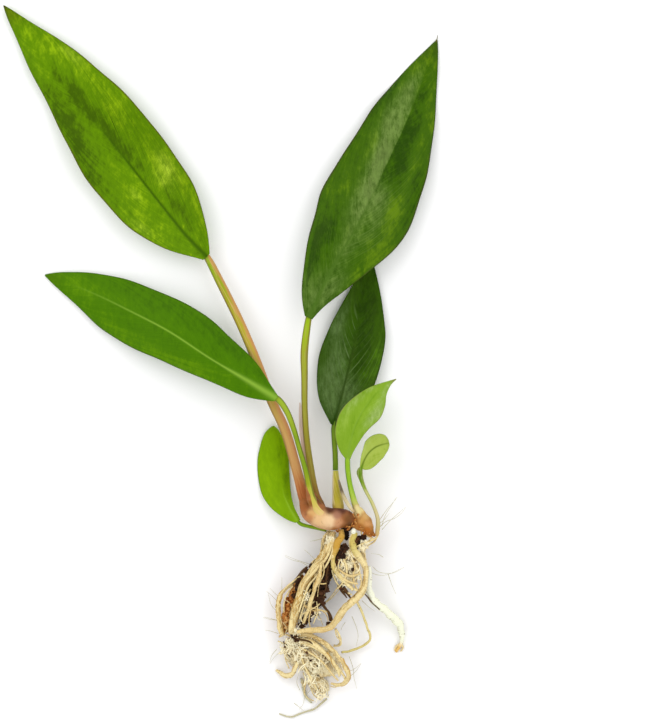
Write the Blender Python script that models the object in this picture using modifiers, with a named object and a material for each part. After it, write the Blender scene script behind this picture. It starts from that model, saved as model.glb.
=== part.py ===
"""A lance-leaved anubias with bare roots, lying on a flat surface.

Metres, +Z up. The leaves point towards +Y and the roots towards -Y, and the surface is at Z = 0.
Routes are written in millimetres from the middle of the plant's footprint.
A leaf is a blade and its petiole. Where petioles meet the rhizome, their sheathing bases are part of it.
"""

import math

import bmesh
import bpy
from mathutils import Vector

MM = 0.001
PLANT = "anubias"

# Blades: a skin that is thin at the margin and thick along the midrib
MARGIN_THICKNESS = 0.5
MIDRIB_THICKNESS = 2.0
TIP_MIDRIB_THICKNESS = 0.7
MIDRIB_SPREAD = 1.2

# How a blade's grid is spaced: columns crowd to the midrib, and rows to the base and the tip
COLUMN_CROWDING = 1.4
ROW_CROWDING = 0.4

# Shares of a blade's length, from its base, at which its half-widths are given
STATIONS = (0, 0.05, 0.12, 0.25, 0.4, 0.55, 0.7, 0.82, 0.92, 0.97, 1)

# Each blade: its midrib (x, y, height of the upper face), the half-widths left and right of it for one
# who looks from base to tip, how far its margins rise (or, below zero, droop), and its waves
BLADES = {
    "blade_upper_left": {
        "midrib": [(-5.5, 43.3, 7.5), (-14.7, 52.9, 5.6), (-25.2, 65.9, 3.4), (-37.8, 81.9, 1.8),
                   (-50.4, 97.4, 1.4), (-65.1, 114.2, 1.3), (-79.8, 133.6, 1.3), (-90.7, 148.7, 2)],
        "left": (2.2, 6.0, 11.5, 17.3, 18.2, 14.8, 9.2, 6.1, 3.3, 1.7, 0.3),
        "right": (1.8, 7.6, 12.0, 17.0, 17.8, 17.4, 15.1, 10.2, 4.6, 2.2, 0.3),
        "rise": 5.5, "wave": 0.9, "waves": 2.5, "colour": "bright_green", "grid": (8, 16),
    },
    "blade_upper_right": {
        "midrib": [(37.4, 17.6, 13), (42.8, 29.8, 14), (51.2, 45.4, 14), (59.6, 59.6, 12.5),
                   (68.5, 79.0, 9.5), (76.4, 95.8, 6.5), (84.0, 114.2, 3.1), (91.1, 134.4, 0.9)],
        "left": (1.8, 5.8, 10.0, 16.2, 20.3, 18.2, 15.5, 10.9, 5.8, 2.6, 0.3),
        "right": (1.5, 3.6, 8.4, 15.0, 19.7, 18.4, 12.8, 8.0, 4.0, 2.1, 0.3),
        "rise": -4.0, "wave": 0.8, "waves": 2.0, "colour": "dark_green", "grid": (8, 16),
    },
    "blade_middle_left": {
        "midrib": [(23.9, -16.0, 17), (12.6, -9.2, 16.6), (-4.2, 0.8, 14.5), (-21.0, 11.8, 11),
                   (-37.8, 20.6, 7.2), (-54.6, 28.6, 3.6), (-73.5, 35.7, 0.8)],
        "left": (1.5, 4.0, 6.7, 8.3, 11.4, 13.3, 12.5, 8.4, 4.4, 2.0, 0.3),
        "right": (1.2, 3.8, 7.8, 11.6, 14.0, 13.1, 11.5, 8.2, 4.5, 2.6, 0.3),
        "rise": -2.5, "wave": 0.6, "waves": 2.5, "colour": "mid_green", "grid": (8, 16),
    },
    "blade_back_right": {
        "midrib": [(47.9, -27.3, 8), (50.4, -17.6, 5.4), (53.3, -6.3, 2.8), (56.7, 8.4, 1.6),
                   (60.1, 25.2, 1.2), (63.4, 42.8, 2)],
        "left": (1.5, 4.6, 8.6, 12.0, 13.4, 11.8, 8.6, 5.6, 3.0, 1.4, 0.3),
        "right": (1.5, 4.2, 8.2, 11.8, 12.8, 12.4, 9.6, 6.3, 3.2, 1.5, 0.3),
        "rise": 2.5, "wave": 0.5, "waves": 2.0, "colour": "dark_green", "grid": (6, 12),
    },
    "blade_front_right": {
        "midrib": [(53.6, -41.2, 14.5), (54.6, -34.9, 15.5), (56.7, -27.3, 16.5), (60.5, -20.2, 16.5),
                   (66.4, -12.6, 15), (73.9, -8.0, 12.5)],
        "left": (1.3, 3.2, 5.1, 7.4, 8.0, 6.6, 4.2, 2.0, 0.9, 0.5, 0.2),
        "right": (1.2, 1.7, 2.7, 4.4, 6.3, 7.9, 6.5, 3.6, 1.1, 0.4, 0.2),
        "rise": 1.5, "wave": 0.4, "waves": 1.5, "colour": "young_green", "grid": (6, 10),
    },
    "blade_small_left": {
        "midrib": [(32.8, -67.6, 9), (29.4, -62.2, 6.4), (26.9, -56.3, 4), (25.2, -48.3, 2.7),
                   (23.9, -37.8, 2.3), (22.3, -27.7, 2.4)],
        "left": (1.2, 2.9, 4.5, 7.3, 9.1, 9.2, 8.6, 6.8, 4.7, 3.0, 0.6),
        "right": (1.2, 1.5, 1.7, 2.6, 3.5, 4.1, 4.4, 3.6, 2.6, 1.7, 0.5),
        "rise": -1.8, "wave": 0.3, "waves": 1.5, "colour": "bright_green", "grid": (6, 10),
    },
    "blade_small_right": {
        "midrib": [(59.2, -45.4, 13.4), (60.5, -42.0, 13.8), (62.2, -39.1, 14), (64.7, -36.8, 13.8),
                   (67.6, -35.5, 13), (71.0, -34.7, 12)],
        "left": (0.7, 0.9, 1.2, 1.9, 2.8, 4.6, 5.1, 4.8, 3.8, 3.0, 1.2),
        "right": (1.6, 3.6, 4.4, 5.4, 5.8, 5.8, 5.6, 4.5, 3.2, 2.0, 0.8),
        "rise": 0.8, "wave": 0.2, "waves": 1.5, "colour": "young_green", "grid": (6, 8),
    },
    "sheath_upper_right": {
        "midrib": [(33.6, -17.8, 9.3), (34.3, -26, 9.3), (35.2, -33.6, 9.3), (36.4, -41, 9.2),
                   (37.6, -46.5, 9.2)],
        "left": (0.3, 0.5, 0.7, 0.9, 1.1, 1.1, 1.0, 0.8, 0.6, 0.4, 0.3),
        "right": (0.3, 0.5, 0.7, 0.9, 1.1, 1.1, 1.0, 0.8, 0.6, 0.4, 0.3),
        "rise": 0.2, "wave": 0.0, "waves": 1.0, "colour": "pink_sheath", "grid": (2, 8),
    },
    "scale_leaf": {
        "midrib": [(49.8, -50.0, 14.6), (50.8, -53.8, 14.8), (52.1, -57.5, 15.4), (54.4, -61.4, 16.3),
                   (56.2, -63.6, 17.1)],
        "left": (0.3, 0.5, 0.8, 1.1, 1.3, 1.3, 1.2, 1.0, 0.8, 0.6, 0.4),
        "right": (0.3, 0.5, 0.8, 1.1, 1.3, 1.3, 1.2, 1.0, 0.8, 0.6, 0.4),
        "rise": -0.4, "wave": 0.0, "waves": 1.0, "colour": "cream_sheath", "grid": (2, 8),
    },
}

# Stalks: (x, y, z, radius) from the blade down to the rhizome
PETIOLES = {
    "petiole_upper_left": [(-5.1, 42.6, 6.5, 1.6), (-0.4, 33.6, 7.2, 1.8), (8.0, 16.8, 8, 1.9),
                           (15.1, 0, 8.4, 2.0), (21.6, -16.8, 8.6, 2.0), (27.3, -29.4, 8.8, 2.1),
                           (32.3, -46.2, 9.2, 2.1), (35.5, -58.65, 10, 2.3)],
    "petiole_upper_right": [(37.15, 16.9, 12, 1.5), (35.5, 4.2, 12, 1.6), (35.5, -8, 11.8, 1.4),
                            (35.6, -20, 11.6, 1.3), (36.5, -33.6, 11.4, 1.3), (38.6, -48, 11.2, 1.4),
                            (40.2, -56.2, 11.4, 1.7)],
    "petiole_middle_left": [(24.6, -16.6, 15.9, 1.2), (28.4, -22.0, 15.6, 1.3), (30.9, -29.4, 15.8, 1.4),
                            (32.8, -37.8, 16, 1.5), (35.3, -46.2, 16.2, 1.6), (37.6, -55.2, 16.4, 1.9)],
    "petiole_back_right": [(47.8, -28.1, 7.1, 1.0), (48.0, -34, 8, 1.0), (48.4, -40, 8.4, 1.05),
                           (48.5, -46.2, 8.8, 1.1)],
    "petiole_front_right": [(53.5, -41.8, 13.6, 1.0), (53.7, -46.8, 13.6, 1.05), (54.6, -52.6, 13.4, 1.1),
                            (56.2, -58.8, 13.4, 1.3), (57.2, -61.6, 13.5, 1.5)],
    "petiole_small_left": [(33.6, -68.5, 8, 0.75), (36.4, -69.5, 8, 0.75), (40.2, -70.3, 8.4, 0.75),
                           (44.6, -71.2, 9.9, 0.8)],
    "petiole_small_right": [(59.0, -46.1, 12.6, 0.75), (59.6, -51, 12.4, 0.75), (62.0, -56.7, 12.4, 0.75),
                            (64.8, -62, 12.4, 0.8), (66.4, -67.5, 12.2, 0.85), (66.0, -71.6, 12, 0.95)],
    "sheath_back_right": [(48.5, -46.6, 8.9, 1.2), (48.7, -51, 9.4, 1.5), (49.1, -56, 10.4, 1.8),
                          (49.4, -60.4, 11.4, 2.1)],
}

STALK_COLOURS = {
    "petiole_upper_left": "ochre_stalk", "petiole_upper_right": "olive_stalk",
    "petiole_middle_left": "pale_stalk", "petiole_back_right": "dark_stalk",
    "petiole_front_right": "pale_stalk", "petiole_small_left": "pale_stalk",
    "petiole_small_right": "cream_stalk", "sheath_back_right": "cream_sheath",
}

# The creeping stem: its core runs on from the upper left petiole, and two sheathing bases join it
RHIZOME_CORE = [(35.7, -59.5, 10.1, 2.3), (36.2, -61.0, 10.6, 2.7), (38.2, -63.8, 12, 3.9),
                (42.0, -65.9, 13.4, 4.6), (46.0, -66.4, 14, 4.8), (50.0, -66.0, 14, 4.4),
                (53.4, -66.6, 13.8, 3.6), (55.2, -67.6, 13.6, 1.6)]
SHEATHING_BASES = [
    [(37.75, -55.75, 16.45, 1.9), (38.3, -57.4, 16.4, 2.2), (40.6, -61.4, 16, 2.8),
     (43.8, -64.8, 14.6, 3.0)],
    [(40.4, -56.9, 11.45, 1.7), (40.95, -58.4, 11.7, 2.1), (43.6, -61.6, 12.8, 3.1),
     (47.2, -64.6, 13.6, 3.2)],
]
SIDE_SHOOT = [(57.35, -62.05, 13.6, 1.6), (57.8, -63.4, 13.6, 1.9), (59.4, -67.0, 13.4, 3.2),
              (61.4, -70.0, 12.8, 2.9), (63.6, -72.4, 12.2, 1.6), (64.4, -73.2, 12, 0.8)]

# Roots: (x, y, z, radius) from the rhizome outwards
ROOTS = {
    "root_left_main": [(47.5, -71.9, 11.8, 1.5), (45.8, -76, 12.2, 1.9), (43.7, -81.1, 12.6, 2.0),
                       (40.7, -85.3, 13, 2.1), (37, -89.5, 13, 2.1), (34.4, -93.7, 12.2, 2.0),
                       (33.6, -98.3, 11.4, 1.9), (32.3, -102.9, 11, 1.9), (31.1, -107.5, 10.8, 1.8),
                       (30.2, -111.7, 10.6, 1.5), (29.8, -114.7, 10.4, 1.0)],
    "root_left_outer": [(36.2, -87.0, 9.8, 0.6), (33.4, -91.4, 8, 0.8), (30.2, -94.9, 7.6, 0.9),
                        (26.8, -97.8, 7, 0.95), (25, -100.8, 6.4, 1.0), (24.6, -104.6, 6.2, 1.0),
                        (25.2, -109.2, 6.6, 1.0), (25.8, -113.4, 7.2, 0.9), (26.9, -115.5, 7.6, 0.6)],
    "root_centre": [(50.9, -71.1, 13, 1.3), (50.8, -74, 14, 1.4), (49.4, -76.8, 14.6, 1.7),
                    (48.1, -79.8, 14.8, 1.4), (47.5, -83.6, 15, 1.3), (48.1, -87.4, 15, 1.3),
                    (50.4, -90.7, 14.6, 1.2), (53.3, -93.7, 14, 1.1), (55.9, -96.2, 14.6, 0.9)],
    "root_right_long": [(56.8, -71.2, 12.6, 1.2), (55.8, -75, 13, 1.6), (56.3, -79.0, 13.4, 1.7),
                        (58.4, -82.3, 13.4, 1.7), (60.5, -85.3, 13.2, 1.6), (61.3, -89, 12.8, 1.5),
                        (60.9, -93.7, 12.4, 1.5), (59.2, -97.4, 12.2, 1.6), (55.9, -100.8, 12, 1.6),
                        (52.1, -104.2, 11.8, 1.6), (49.6, -107.9, 11.8, 1.6), (47.5, -110.9, 11.8, 1.6),
                        (44.1, -113, 12, 1.5), (39.9, -113, 12.6, 1.5), (35.7, -113.2, 13.4, 1.4),
                        (32.3, -113.8, 13.8, 1.0)],
    "root_right_pale": [(62.4, -86.5, 10.2, 1.0), (62.6, -91.6, 8.8, 1.2), (62.4, -95.8, 8.2, 1.4),
                        (64, -100, 7.4, 1.6), (67.6, -103.5, 6.2, 1.6), (71.4, -106.7, 5, 1.7),
                        (74.3, -109.6, 3.8, 1.7), (76, -113, 2.6, 1.5), (76.4, -116.3, 1.8, 1.1),
                        (76.2, -118.4, 1.2, 0.7), (75.2, -120.5, 0.9, 0.7), (73.9, -122.6, 0.6, 0.5)],
    "root_loop_outer": [(31.2, -115.6, 8.4, 0.7), (34.9, -114.9, 9.2, 0.8), (39.5, -115.9, 9.4, 0.8),
                        (43.7, -118.4, 9.2, 0.9), (47.5, -121.8, 9, 0.9), (50.8, -125.6, 8.6, 0.9),
                        (52.9, -129.4, 8.2, 0.9), (53.8, -132.7, 7.4, 0.9), (52.5, -135.2, 6, 0.8),
                        (49.6, -136.3, 4.6, 0.7), (46.6, -135.7, 3.6, 0.5)],
    "root_loop_inner": [(32.4, -117.4, 9.2, 0.7), (36.1, -117.4, 9.8, 0.9), (40.3, -119.6, 10, 0.9),
                        (44.1, -122.8, 9.8, 0.8), (47.2, -126.2, 9.2, 0.8), (49.4, -129.6, 8.4, 0.7),
                        (50.2, -132.6, 7.4, 0.5)],
    "root_loop_thin": [(57.4, -101.2, 10.2, 0.5), (59.2, -104.8, 9, 0.5), (60.3, -107.5, 8, 0.5),
                       (61.5, -111.3, 6.4, 0.5), (62.9, -115.1, 4.8, 0.5), (62.7, -117.8, 3.4, 0.5),
                       (60.1, -119.9, 2.4, 0.5), (56.7, -121.4, 2.2, 0.5), (53.3, -122.4, 3, 0.5),
                       (51.2, -122.6, 4.4, 0.5)],
    "root_twig": [(48.6, -112.6, 10.2, 0.5), (50.0, -115.4, 8.4, 0.5), (50.6, -118.4, 6, 0.5),
                  (49.2, -119.7, 5, 0.4), (47.8, -119.5, 4.6, 0.3)],
    "root_stub_left": [(32.6, -126.6, 8.8, 0.8), (31.6, -129.2, 7.6, 0.9), (30.2, -131.6, 5.0, 1.0),
                       (27.6, -132.6, 2.8, 1.1), (25.2, -131.2, 1.4, 1.0), (23.5, -130.2, 0.9, 0.7)],
    "root_shoot": [(64.4, -74.6, 11.4, 0.6), (61.9, -76.2, 11, 0.7), (59.6, -78.2, 10, 0.7),
                   (59.9, -81.9, 9.4, 0.7), (60.4, -84.8, 8.8, 0.5)],
    "root_inner_left": [(42.4, -85.4, 15.8, 0.6), (41.8, -90.6, 16.4, 0.7), (40.1, -94.8, 15.6, 0.7),
                        (38.9, -98.8, 14.4, 0.7), (37.6, -103.1, 13.2, 0.7), (36.3, -106.9, 12, 0.6),
                        (35.2, -110.2, 11, 0.5)],
    "root_crown_left": [(45.7, -72.0, 10.2, 0.5), (43.4, -75.3, 8.4, 0.6), (42.9, -78.3, 8, 0.6),
                        (42.2, -81.6, 7.8, 0.6), (39.2, -84.6, 7.6, 0.5), (37.6, -86.2, 7.6, 0.4)],
    "root_bottom": [(44.8, -142.9, 1.6, 0.4), (41.6, -144.9, 1.2, 0.45), (39.5, -147, 1, 0.45),
                    (36.1, -147.6, 0.8, 0.4), (33.2, -148.7, 0.7, 0.35), (30.2, -149.9, 0.6, 0.35),
                    (27.7, -149.5, 0.6, 0.3), (24.8, -148.5, 0.6, 0.25)],
    "root_pale_strap": [(34.2, -133.6, 1.6, 0.6), (34.9, -136.4, 1.2, 0.8), (35.3, -139.2, 0.9, 0.8),
                        (36.5, -142, 0.9, 0.7), (38.6, -143.9, 0.8, 0.4)],
}

# The bark-covered old root, brown with soil
OLD_ROOT = [(35.3, -90.2, 5.2, 0.9), (33.2, -93.2, 4.6, 1.4), (31.4, -97.6, 3.6, 1.8),
            (29.6, -102.5, 2.8, 2.0), (28.2, -107.5, 2.4, 2.0), (27.6, -111.7, 2.4, 1.8),
            (27.6, -114.6, 2.6, 1.2)]

# Hair roots: the few long ones that stand out from the bundle
HAIR_ROOTS = {
    "hair_root_high": [(67.9, -69.4, 12.6, 0.25), (69.3, -65, 13, 0.22), (71.8, -61, 12.6, 0.2),
                       (73.9, -57.5, 12, 0.2)],
    "hair_root_top": [(68.0, -71, 11.8, 0.25), (71.4, -67.2, 11.2, 0.22), (75.2, -63.9, 10.4, 0.2),
                      (77.7, -61.7, 9.6, 0.2)],
    "hair_root_right": [(64.0, -86.6, 9.2, 0.25), (67.2, -89, 7.4, 0.22), (72.5, -89.3, 5.8, 0.2),
                        (77.3, -87.1, 4.4, 0.2)],
    "hair_root_low": [(55.0, -132.4, 5.6, 0.3), (57.4, -130.2, 3, 0.25), (59.2, -127.3, 2.2, 0.2)],
    "hair_root_left_top": [(37.2, -86.4, 11.6, 0.25), (34.2, -84.8, 9, 0.22), (30.2, -83.8, 5.6, 0.2),
                           (27.3, -82.3, 4.4, 0.2)],
    "hair_root_left_mid": [(23.8, -101, 5.8, 0.25), (21.8, -98.9, 4.4, 0.22), (19.5, -97, 3.2, 0.2)],
    "hair_root_left_low": [(23.8, -109.1, 6.2, 0.25), (21, -108.8, 4.4, 0.22), (18.1, -108.1, 3.2, 0.2)],
    "hair_root_left_bottom": [(25.4, -122.4, 2.8, 0.25), (23, -124.6, 1.5, 0.22), (20.8, -127.6, 0.8, 0.2)],
}

# Lumps: (x, y, z, half-width, half-height) along the middle of each. Where one reaches the surface it is flat
SOIL_LUMPS = {
    "soil_core": [(50.0, -79.4, 9.4, 1.6, 2.6), (47.2, -84, 7.4, 3.2, 5), (43.4, -90.3, 5.6, 4.6, 6.4),
                  (40.4, -95.8, 5, 5, 6.2), (38.2, -100.8, 4.6, 4.8, 5.8), (36.0, -106.0, 4, 4.4, 5.4),
                  (35.0, -110.6, 3.4, 3.6, 5)],
    "soil_clump_upper": [(53.1, -70.4, 10.6, 0.9, 1.4), (53.0, -73, 10.2, 1.5, 1.8),
                         (53.1, -75.6, 9.6, 0.9, 1.2)],
    "soil_clump_right": [(59.4, -74.2, 9, 0.9, 1.2), (58.0, -76.8, 8.2, 1.7, 2.4),
                         (56.6, -79.6, 8, 1, 1.6)],
}
ROOT_MATS = {
    "root_mat_right": [(55.2, -80.6, 6.6, 2.2, 4.2), (55.2, -84.3, 5.8, 4.2, 6.4),
                       (54.6, -88.4, 5.4, 4.8, 7), (53.8, -92.9, 5, 4.4, 6.8), (53.2, -97.0, 4.6, 2.6, 5)],
    "root_mat_lower": [(27.4, -118.6, 2.6, 5.0, 4.4), (33, -120.8, 2.8, 7.0, 5.8),
                       (38.8, -123.8, 2.8, 7.8, 6.2), (44.4, -127.4, 2.6, 6.8, 5.6), (49, -130.8, 2, 4, 4.2)],
    "root_mat_tail": [(37.6, -134.4, 1.8, 2.2, 2.2), (39.4, -136.6, 2, 3.6, 2.6), (41.4, -139, 2, 4.2, 2.8),
                      (43, -141.4, 1.6, 3.0, 2.2), (43.6, -142.4, 1.4, 1.4, 1.8)],
}
LUMP_RELIEF = 0.08
LUMP_BLUNTNESS = 6
LUMP_SEGMENTS = 14
LUMP_RINGS = 12
SMALL_LUMP_SEGMENTS = 8
SMALL_LUMP_RINGS = 6
SMALL_LUMP_LENGTH = 8

# Tubes: the distance between the rings of each kind, and the fineness of its round section
STALK_SPACING = 7
RHIZOME_SPACING = 2.2
ROOT_SPACING = 3.4
HAIR_SPACING = 3.5
ROUND_SECTION = 2
FINE_SECTION = 4
HAIR_SECTION = 1

# Smooth routes are read from this many points
ROUTE_POINTS = 200
WELD_DISTANCE = 0.00001

# Colours as they look by daylight, red green blue out of 255, and how rough each surface is
FINISHES = {
    "bright_green": ((104, 150, 14), 0.35),
    "mid_green": ((72, 130, 10), 0.38),
    "dark_green": ((44, 92, 12), 0.32),
    "young_green": ((135, 172, 60), 0.4),
    "ochre_stalk": ((178, 150, 60), 0.4),
    "olive_stalk": ((145, 140, 48), 0.4),
    "pale_stalk": ((140, 168, 40), 0.4),
    "dark_stalk": ((78, 114, 22), 0.4),
    "cream_stalk": ((196, 190, 130), 0.45),
    "pink_sheath": ((205, 172, 138), 0.5),
    "cream_sheath": ((205, 193, 148), 0.5),
    "rhizome_skin": ((170, 112, 92), 0.45),
    "shoot_skin": ((190, 128, 60), 0.45),
    "root_skin": ((216, 196, 142), 0.6),
    "pale_root_skin": ((226, 222, 180), 0.55),
    "old_bark": ((132, 84, 40), 0.8),
    "mat_fibre": ((216, 200, 152), 0.75),
    "peat": ((46, 24, 14), 0.95),
}


def linear(value):
    """A display value out of 255 as the linear share that a shader takes."""
    share = value / 255
    return share / 12.92 if share <= 0.04045 else ((share + 0.055) / 1.055) ** 2.4


def finish(name):
    """The named material, made once."""
    found = bpy.data.materials.get(name)
    if found:
        return found
    colour, roughness = FINISHES[name]
    material = bpy.data.materials.new(name)
    material.use_nodes = True
    shader = material.node_tree.nodes["Principled BSDF"]
    shader.inputs["Base Color"].default_value = (*map(linear, colour), 1)
    shader.inputs["Roughness"].default_value = roughness
    shader.inputs["Metallic"].default_value = 0
    return material


def spline_point(before, start, end, after, share):
    """A point between start and end on the Catmull-Rom curve through all four, value by value."""
    point = []
    for a, b, c, d in zip(before, start, end, after):
        bend = (2 * a - 5 * b + 4 * c - d) * share**2 + (3 * b - a - 3 * c + d) * share**3
        point.append(b + ((c - a) * share + bend) / 2)
    return tuple(point)


def smooth_route(points, count=ROUTE_POINTS, steps=12):
    """Points at equal distances along the smooth curve through the given ones."""
    padded = [points[0], *points, points[-1]]
    dense = [
        spline_point(*padded[i : i + 4], step / steps)
        for i in range(len(points) - 1)
        for step in range(steps)
    ]
    dense.append(tuple(points[-1]))
    travelled = [0.0]
    for near, far in zip(dense, dense[1:]):
        travelled.append(travelled[-1] + math.dist(near[:3], far[:3]))
    return [at_distance(dense, travelled, travelled[-1] * i / (count - 1)) for i in range(count)]


def at_distance(dense, travelled, distance):
    """The point of a dense route that lies this far along it."""
    i = 1
    while i < len(travelled) - 1 and travelled[i] < distance:
        i += 1
    share = (distance - travelled[i - 1]) / (travelled[i] - travelled[i - 1])
    return tuple(a + (b - a) * share for a, b in zip(dense[i - 1], dense[i]))


def on_route(route, share):
    """The values of a smooth route at this share of its length, and the level direction to the left of it."""
    last = len(route) - 1
    i = min(int(share * last), last - 1)
    values = tuple(a + (b - a) * (share * last - i) for a, b in zip(route[i], route[i + 1]))
    behind, ahead = route[max(i - 2, 0)], route[min(i + 3, last)]
    left = Vector((behind[1] - ahead[1], ahead[0] - behind[0], 0)).normalized()
    return values, left


def between_stations(values, share):
    """The half-width at this share of the length, straight between the stations."""
    for i in range(1, len(STATIONS)):
        if share <= STATIONS[i]:
            part = (share - STATIONS[i - 1]) / (STATIONS[i] - STATIONS[i - 1])
            return values[i - 1] + (values[i] - values[i - 1]) * part
    return values[-1]


def new_object(name, data, colour, collection):
    """An object in the collection with its own material."""
    made = bpy.data.objects.new(name, data)
    collection.objects.link(made)
    data.materials.append(finish(colour))
    return made


def blade(name, shape, collection):
    """A leaf's blade: a grid whose rows follow the midrib and whose columns spread to the margins.

    Across the blade the height changes by rise times the square of the share of the half-width,
    and a gentle wave runs along the margins. Solidify gives it a body that is thickest at the midrib.
    """
    columns, rows = shape["grid"]
    route = smooth_route(shape["midrib"])
    widest = max(*shape["left"], *shape["right"])
    has_midrib = widest > MIDRIB_THICKNESS
    grid = bmesh.new()
    bmesh.ops.create_grid(grid, x_segments=columns, y_segments=rows, size=1)
    thickness = []
    for vertex in grid.verts:
        across = math.copysign(abs(vertex.co.x) ** COLUMN_CROWDING, vertex.co.x)
        even = (vertex.co.y + 1) / 2
        crowded = (1 - math.cos(math.pi * even)) / 2
        along = even + (crowded - even) * ROW_CROWDING
        middle, left = on_route(route, along)
        half_width = between_stations(shape["left" if across > 0 else "right"], along)
        lift = shape["rise"] + shape["wave"] * math.sin(math.tau * shape["waves"] * along)
        point = Vector(middle) + left * across * half_width
        point.z += lift * across**2 * half_width / widest
        vertex.co = point * MM
        rib = MARGIN_THICKNESS
        if has_midrib:
            rib = MIDRIB_THICKNESS + (TIP_MIDRIB_THICKNESS - MIDRIB_THICKNESS) * along
        near_rib = math.exp(-abs(across) * half_width / MIDRIB_SPREAD)
        thickness.append(MARGIN_THICKNESS + (rib - MARGIN_THICKNESS) * near_rib)
    grid.normal_update()
    if sum(face.normal.z for face in grid.faces) < 0:
        bmesh.ops.reverse_faces(grid, faces=grid.faces)
    mesh = bpy.data.meshes.new(name)
    grid.to_mesh(mesh)
    grid.free()
    made = new_object(name, mesh, shape["colour"], collection)
    group = made.vertex_groups.new(name="thickness")
    most = max(thickness)
    for index, value in enumerate(thickness):
        group.add([index], value / most, "REPLACE")
    solid = made.modifiers.new("leaf thickness", "SOLIDIFY")
    solid.thickness = most * MM
    solid.offset = -1
    solid.vertex_group = group.name
    mesh.shade_smooth()
    return made


def tube(name, route, colour, collection, spacing, section=ROUND_SECTION, fewest=4):
    """A stalk or a root: a round tube with filled caps whose radius changes along its smooth route."""
    length = sum(math.dist(near[:3], far[:3]) for near, far in zip(route, route[1:]))
    points = smooth_route(route, max(fewest, round(length / spacing) + 1))
    curve = bpy.data.curves.new(name, "CURVE")
    curve.dimensions = "3D"
    curve.bevel_depth = MM
    curve.bevel_resolution = section
    curve.use_fill_caps = True
    spline = curve.splines.new("POLY")
    spline.points.add(len(points) - 1)
    for target, (x, y, z, radius) in zip(spline.points, points):
        target.co = (x * MM, y * MM, z * MM, 1)
        target.radius = radius
    return new_object(name, curve, colour, collection)


def as_mesh(tube_object, collection):
    """The same shape as a mesh with its caps welded on, in place of the curve."""
    name = tube_object.name
    graph = bpy.context.evaluated_depsgraph_get()
    mesh = bpy.data.meshes.new_from_object(tube_object.evaluated_get(graph))
    matrix = tube_object.matrix_world.copy()
    bpy.data.objects.remove(tube_object)
    welded = bmesh.new()
    welded.from_mesh(mesh)
    bmesh.ops.remove_doubles(welded, verts=welded.verts, dist=WELD_DISTANCE)
    bmesh.ops.recalc_face_normals(welded, faces=welded.faces)
    welded.to_mesh(mesh)
    welded.free()
    mesh.shade_smooth()
    made = bpy.data.objects.new(name, mesh)
    made.matrix_world = matrix
    collection.objects.link(made)
    return made


def lump(name, spine, colour, collection):
    """A clod or a mat of fine roots: a sphere drawn out along a spine, uneven, and flat underneath."""
    route = smooth_route(spine)
    small = math.dist(spine[0][:3], spine[-1][:3]) < SMALL_LUMP_LENGTH
    ball = bmesh.new()
    bmesh.ops.create_uvsphere(
        ball,
        u_segments=SMALL_LUMP_SEGMENTS if small else LUMP_SEGMENTS,
        v_segments=SMALL_LUMP_RINGS if small else LUMP_RINGS,
        radius=1,
    )
    for vertex in ball.verts:
        along = math.acos(max(-1.0, min(1.0, vertex.co.z))) / math.pi
        around = math.atan2(vertex.co.y, vertex.co.x)
        (x, y, z, half_width, half_height), left = on_route(route, along)
        closing = math.sqrt(max(0.0, 1 - (2 * along - 1) ** LUMP_BLUNTNESS))
        size = closing * (1 + LUMP_RELIEF * math.sin(3 * around + 9 * along) * math.sin(14 * along))
        point = Vector((x, y, z)) + left * half_width * size * math.cos(around)
        point.z = max(0.0, point.z + half_height * size * math.sin(around))
        vertex.co = point * MM
    bmesh.ops.remove_doubles(ball, verts=ball.verts, dist=WELD_DISTANCE)
    bmesh.ops.recalc_face_normals(ball, faces=ball.faces)
    mesh = bpy.data.meshes.new(name)
    ball.to_mesh(mesh)
    ball.free()
    mesh.shade_smooth()
    return new_object(name, mesh, colour, collection)


def rhizome(collection, helpers):
    """The creeping stem with the sheathing bases of two leaves grown onto it."""
    finish_name = "rhizome_skin"
    whole = as_mesh(
        tube("rhizome", RHIZOME_CORE, finish_name, collection, RHIZOME_SPACING, FINE_SECTION), collection
    )
    for number, route in enumerate(SHEATHING_BASES, 1):
        curve = tube(f"sheathing_base_{number}", route, finish_name, helpers, RHIZOME_SPACING, FINE_SECTION)
        base = as_mesh(curve, helpers)
        base.hide_render = True
        base.display_type = "WIRE"
        join = whole.modifiers.new(base.name, "BOOLEAN")
        join.operation = "UNION"
        join.solver = "EXACT"
        join.object = base
    return whole


def empty_scene():
    for obj in list(bpy.data.objects):
        bpy.data.objects.remove(obj)


def new_collection(name, hidden=False):
    made = bpy.data.collections.new(name)
    bpy.context.scene.collection.children.link(made)
    made.hide_render = hidden
    return made


def main():
    empty_scene()
    plant = new_collection(PLANT)
    helpers = new_collection("joined_shapes", hidden=True)
    for name, shape in BLADES.items():
        blade(name, shape, plant)
    for name, route in PETIOLES.items():
        tube(name, route, STALK_COLOURS[name], plant, STALK_SPACING)
    rhizome(plant, helpers)
    tube("side_shoot", SIDE_SHOOT, "shoot_skin", plant, RHIZOME_SPACING, FINE_SECTION)
    for name, route in ROOTS.items():
        tube(name, route, "pale_root_skin" if "pale" in name else "root_skin", plant, ROOT_SPACING)
    tube("old_root", OLD_ROOT, "old_bark", plant, ROOT_SPACING)
    for name, route in HAIR_ROOTS.items():
        tube(name, route, "root_skin", plant, HAIR_SPACING, HAIR_SECTION)
    for name, spine in SOIL_LUMPS.items():
        lump(name, spine, "peat", plant)
    for name, spine in ROOT_MATS.items():
        lump(name, spine, "mat_fibre", plant)


main()
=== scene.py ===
# %% [markdown]
# # An anubias with bare roots
# This lesson dresses a packed model of a small water plant: leaves, stalks, stem, roots and peat.
# The model gives each piece's place and size. Here every piece gets its fine surface and its colours.
# All shapes are worked out with numpy in millimetres and turned into metres when a mesh is made.

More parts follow.
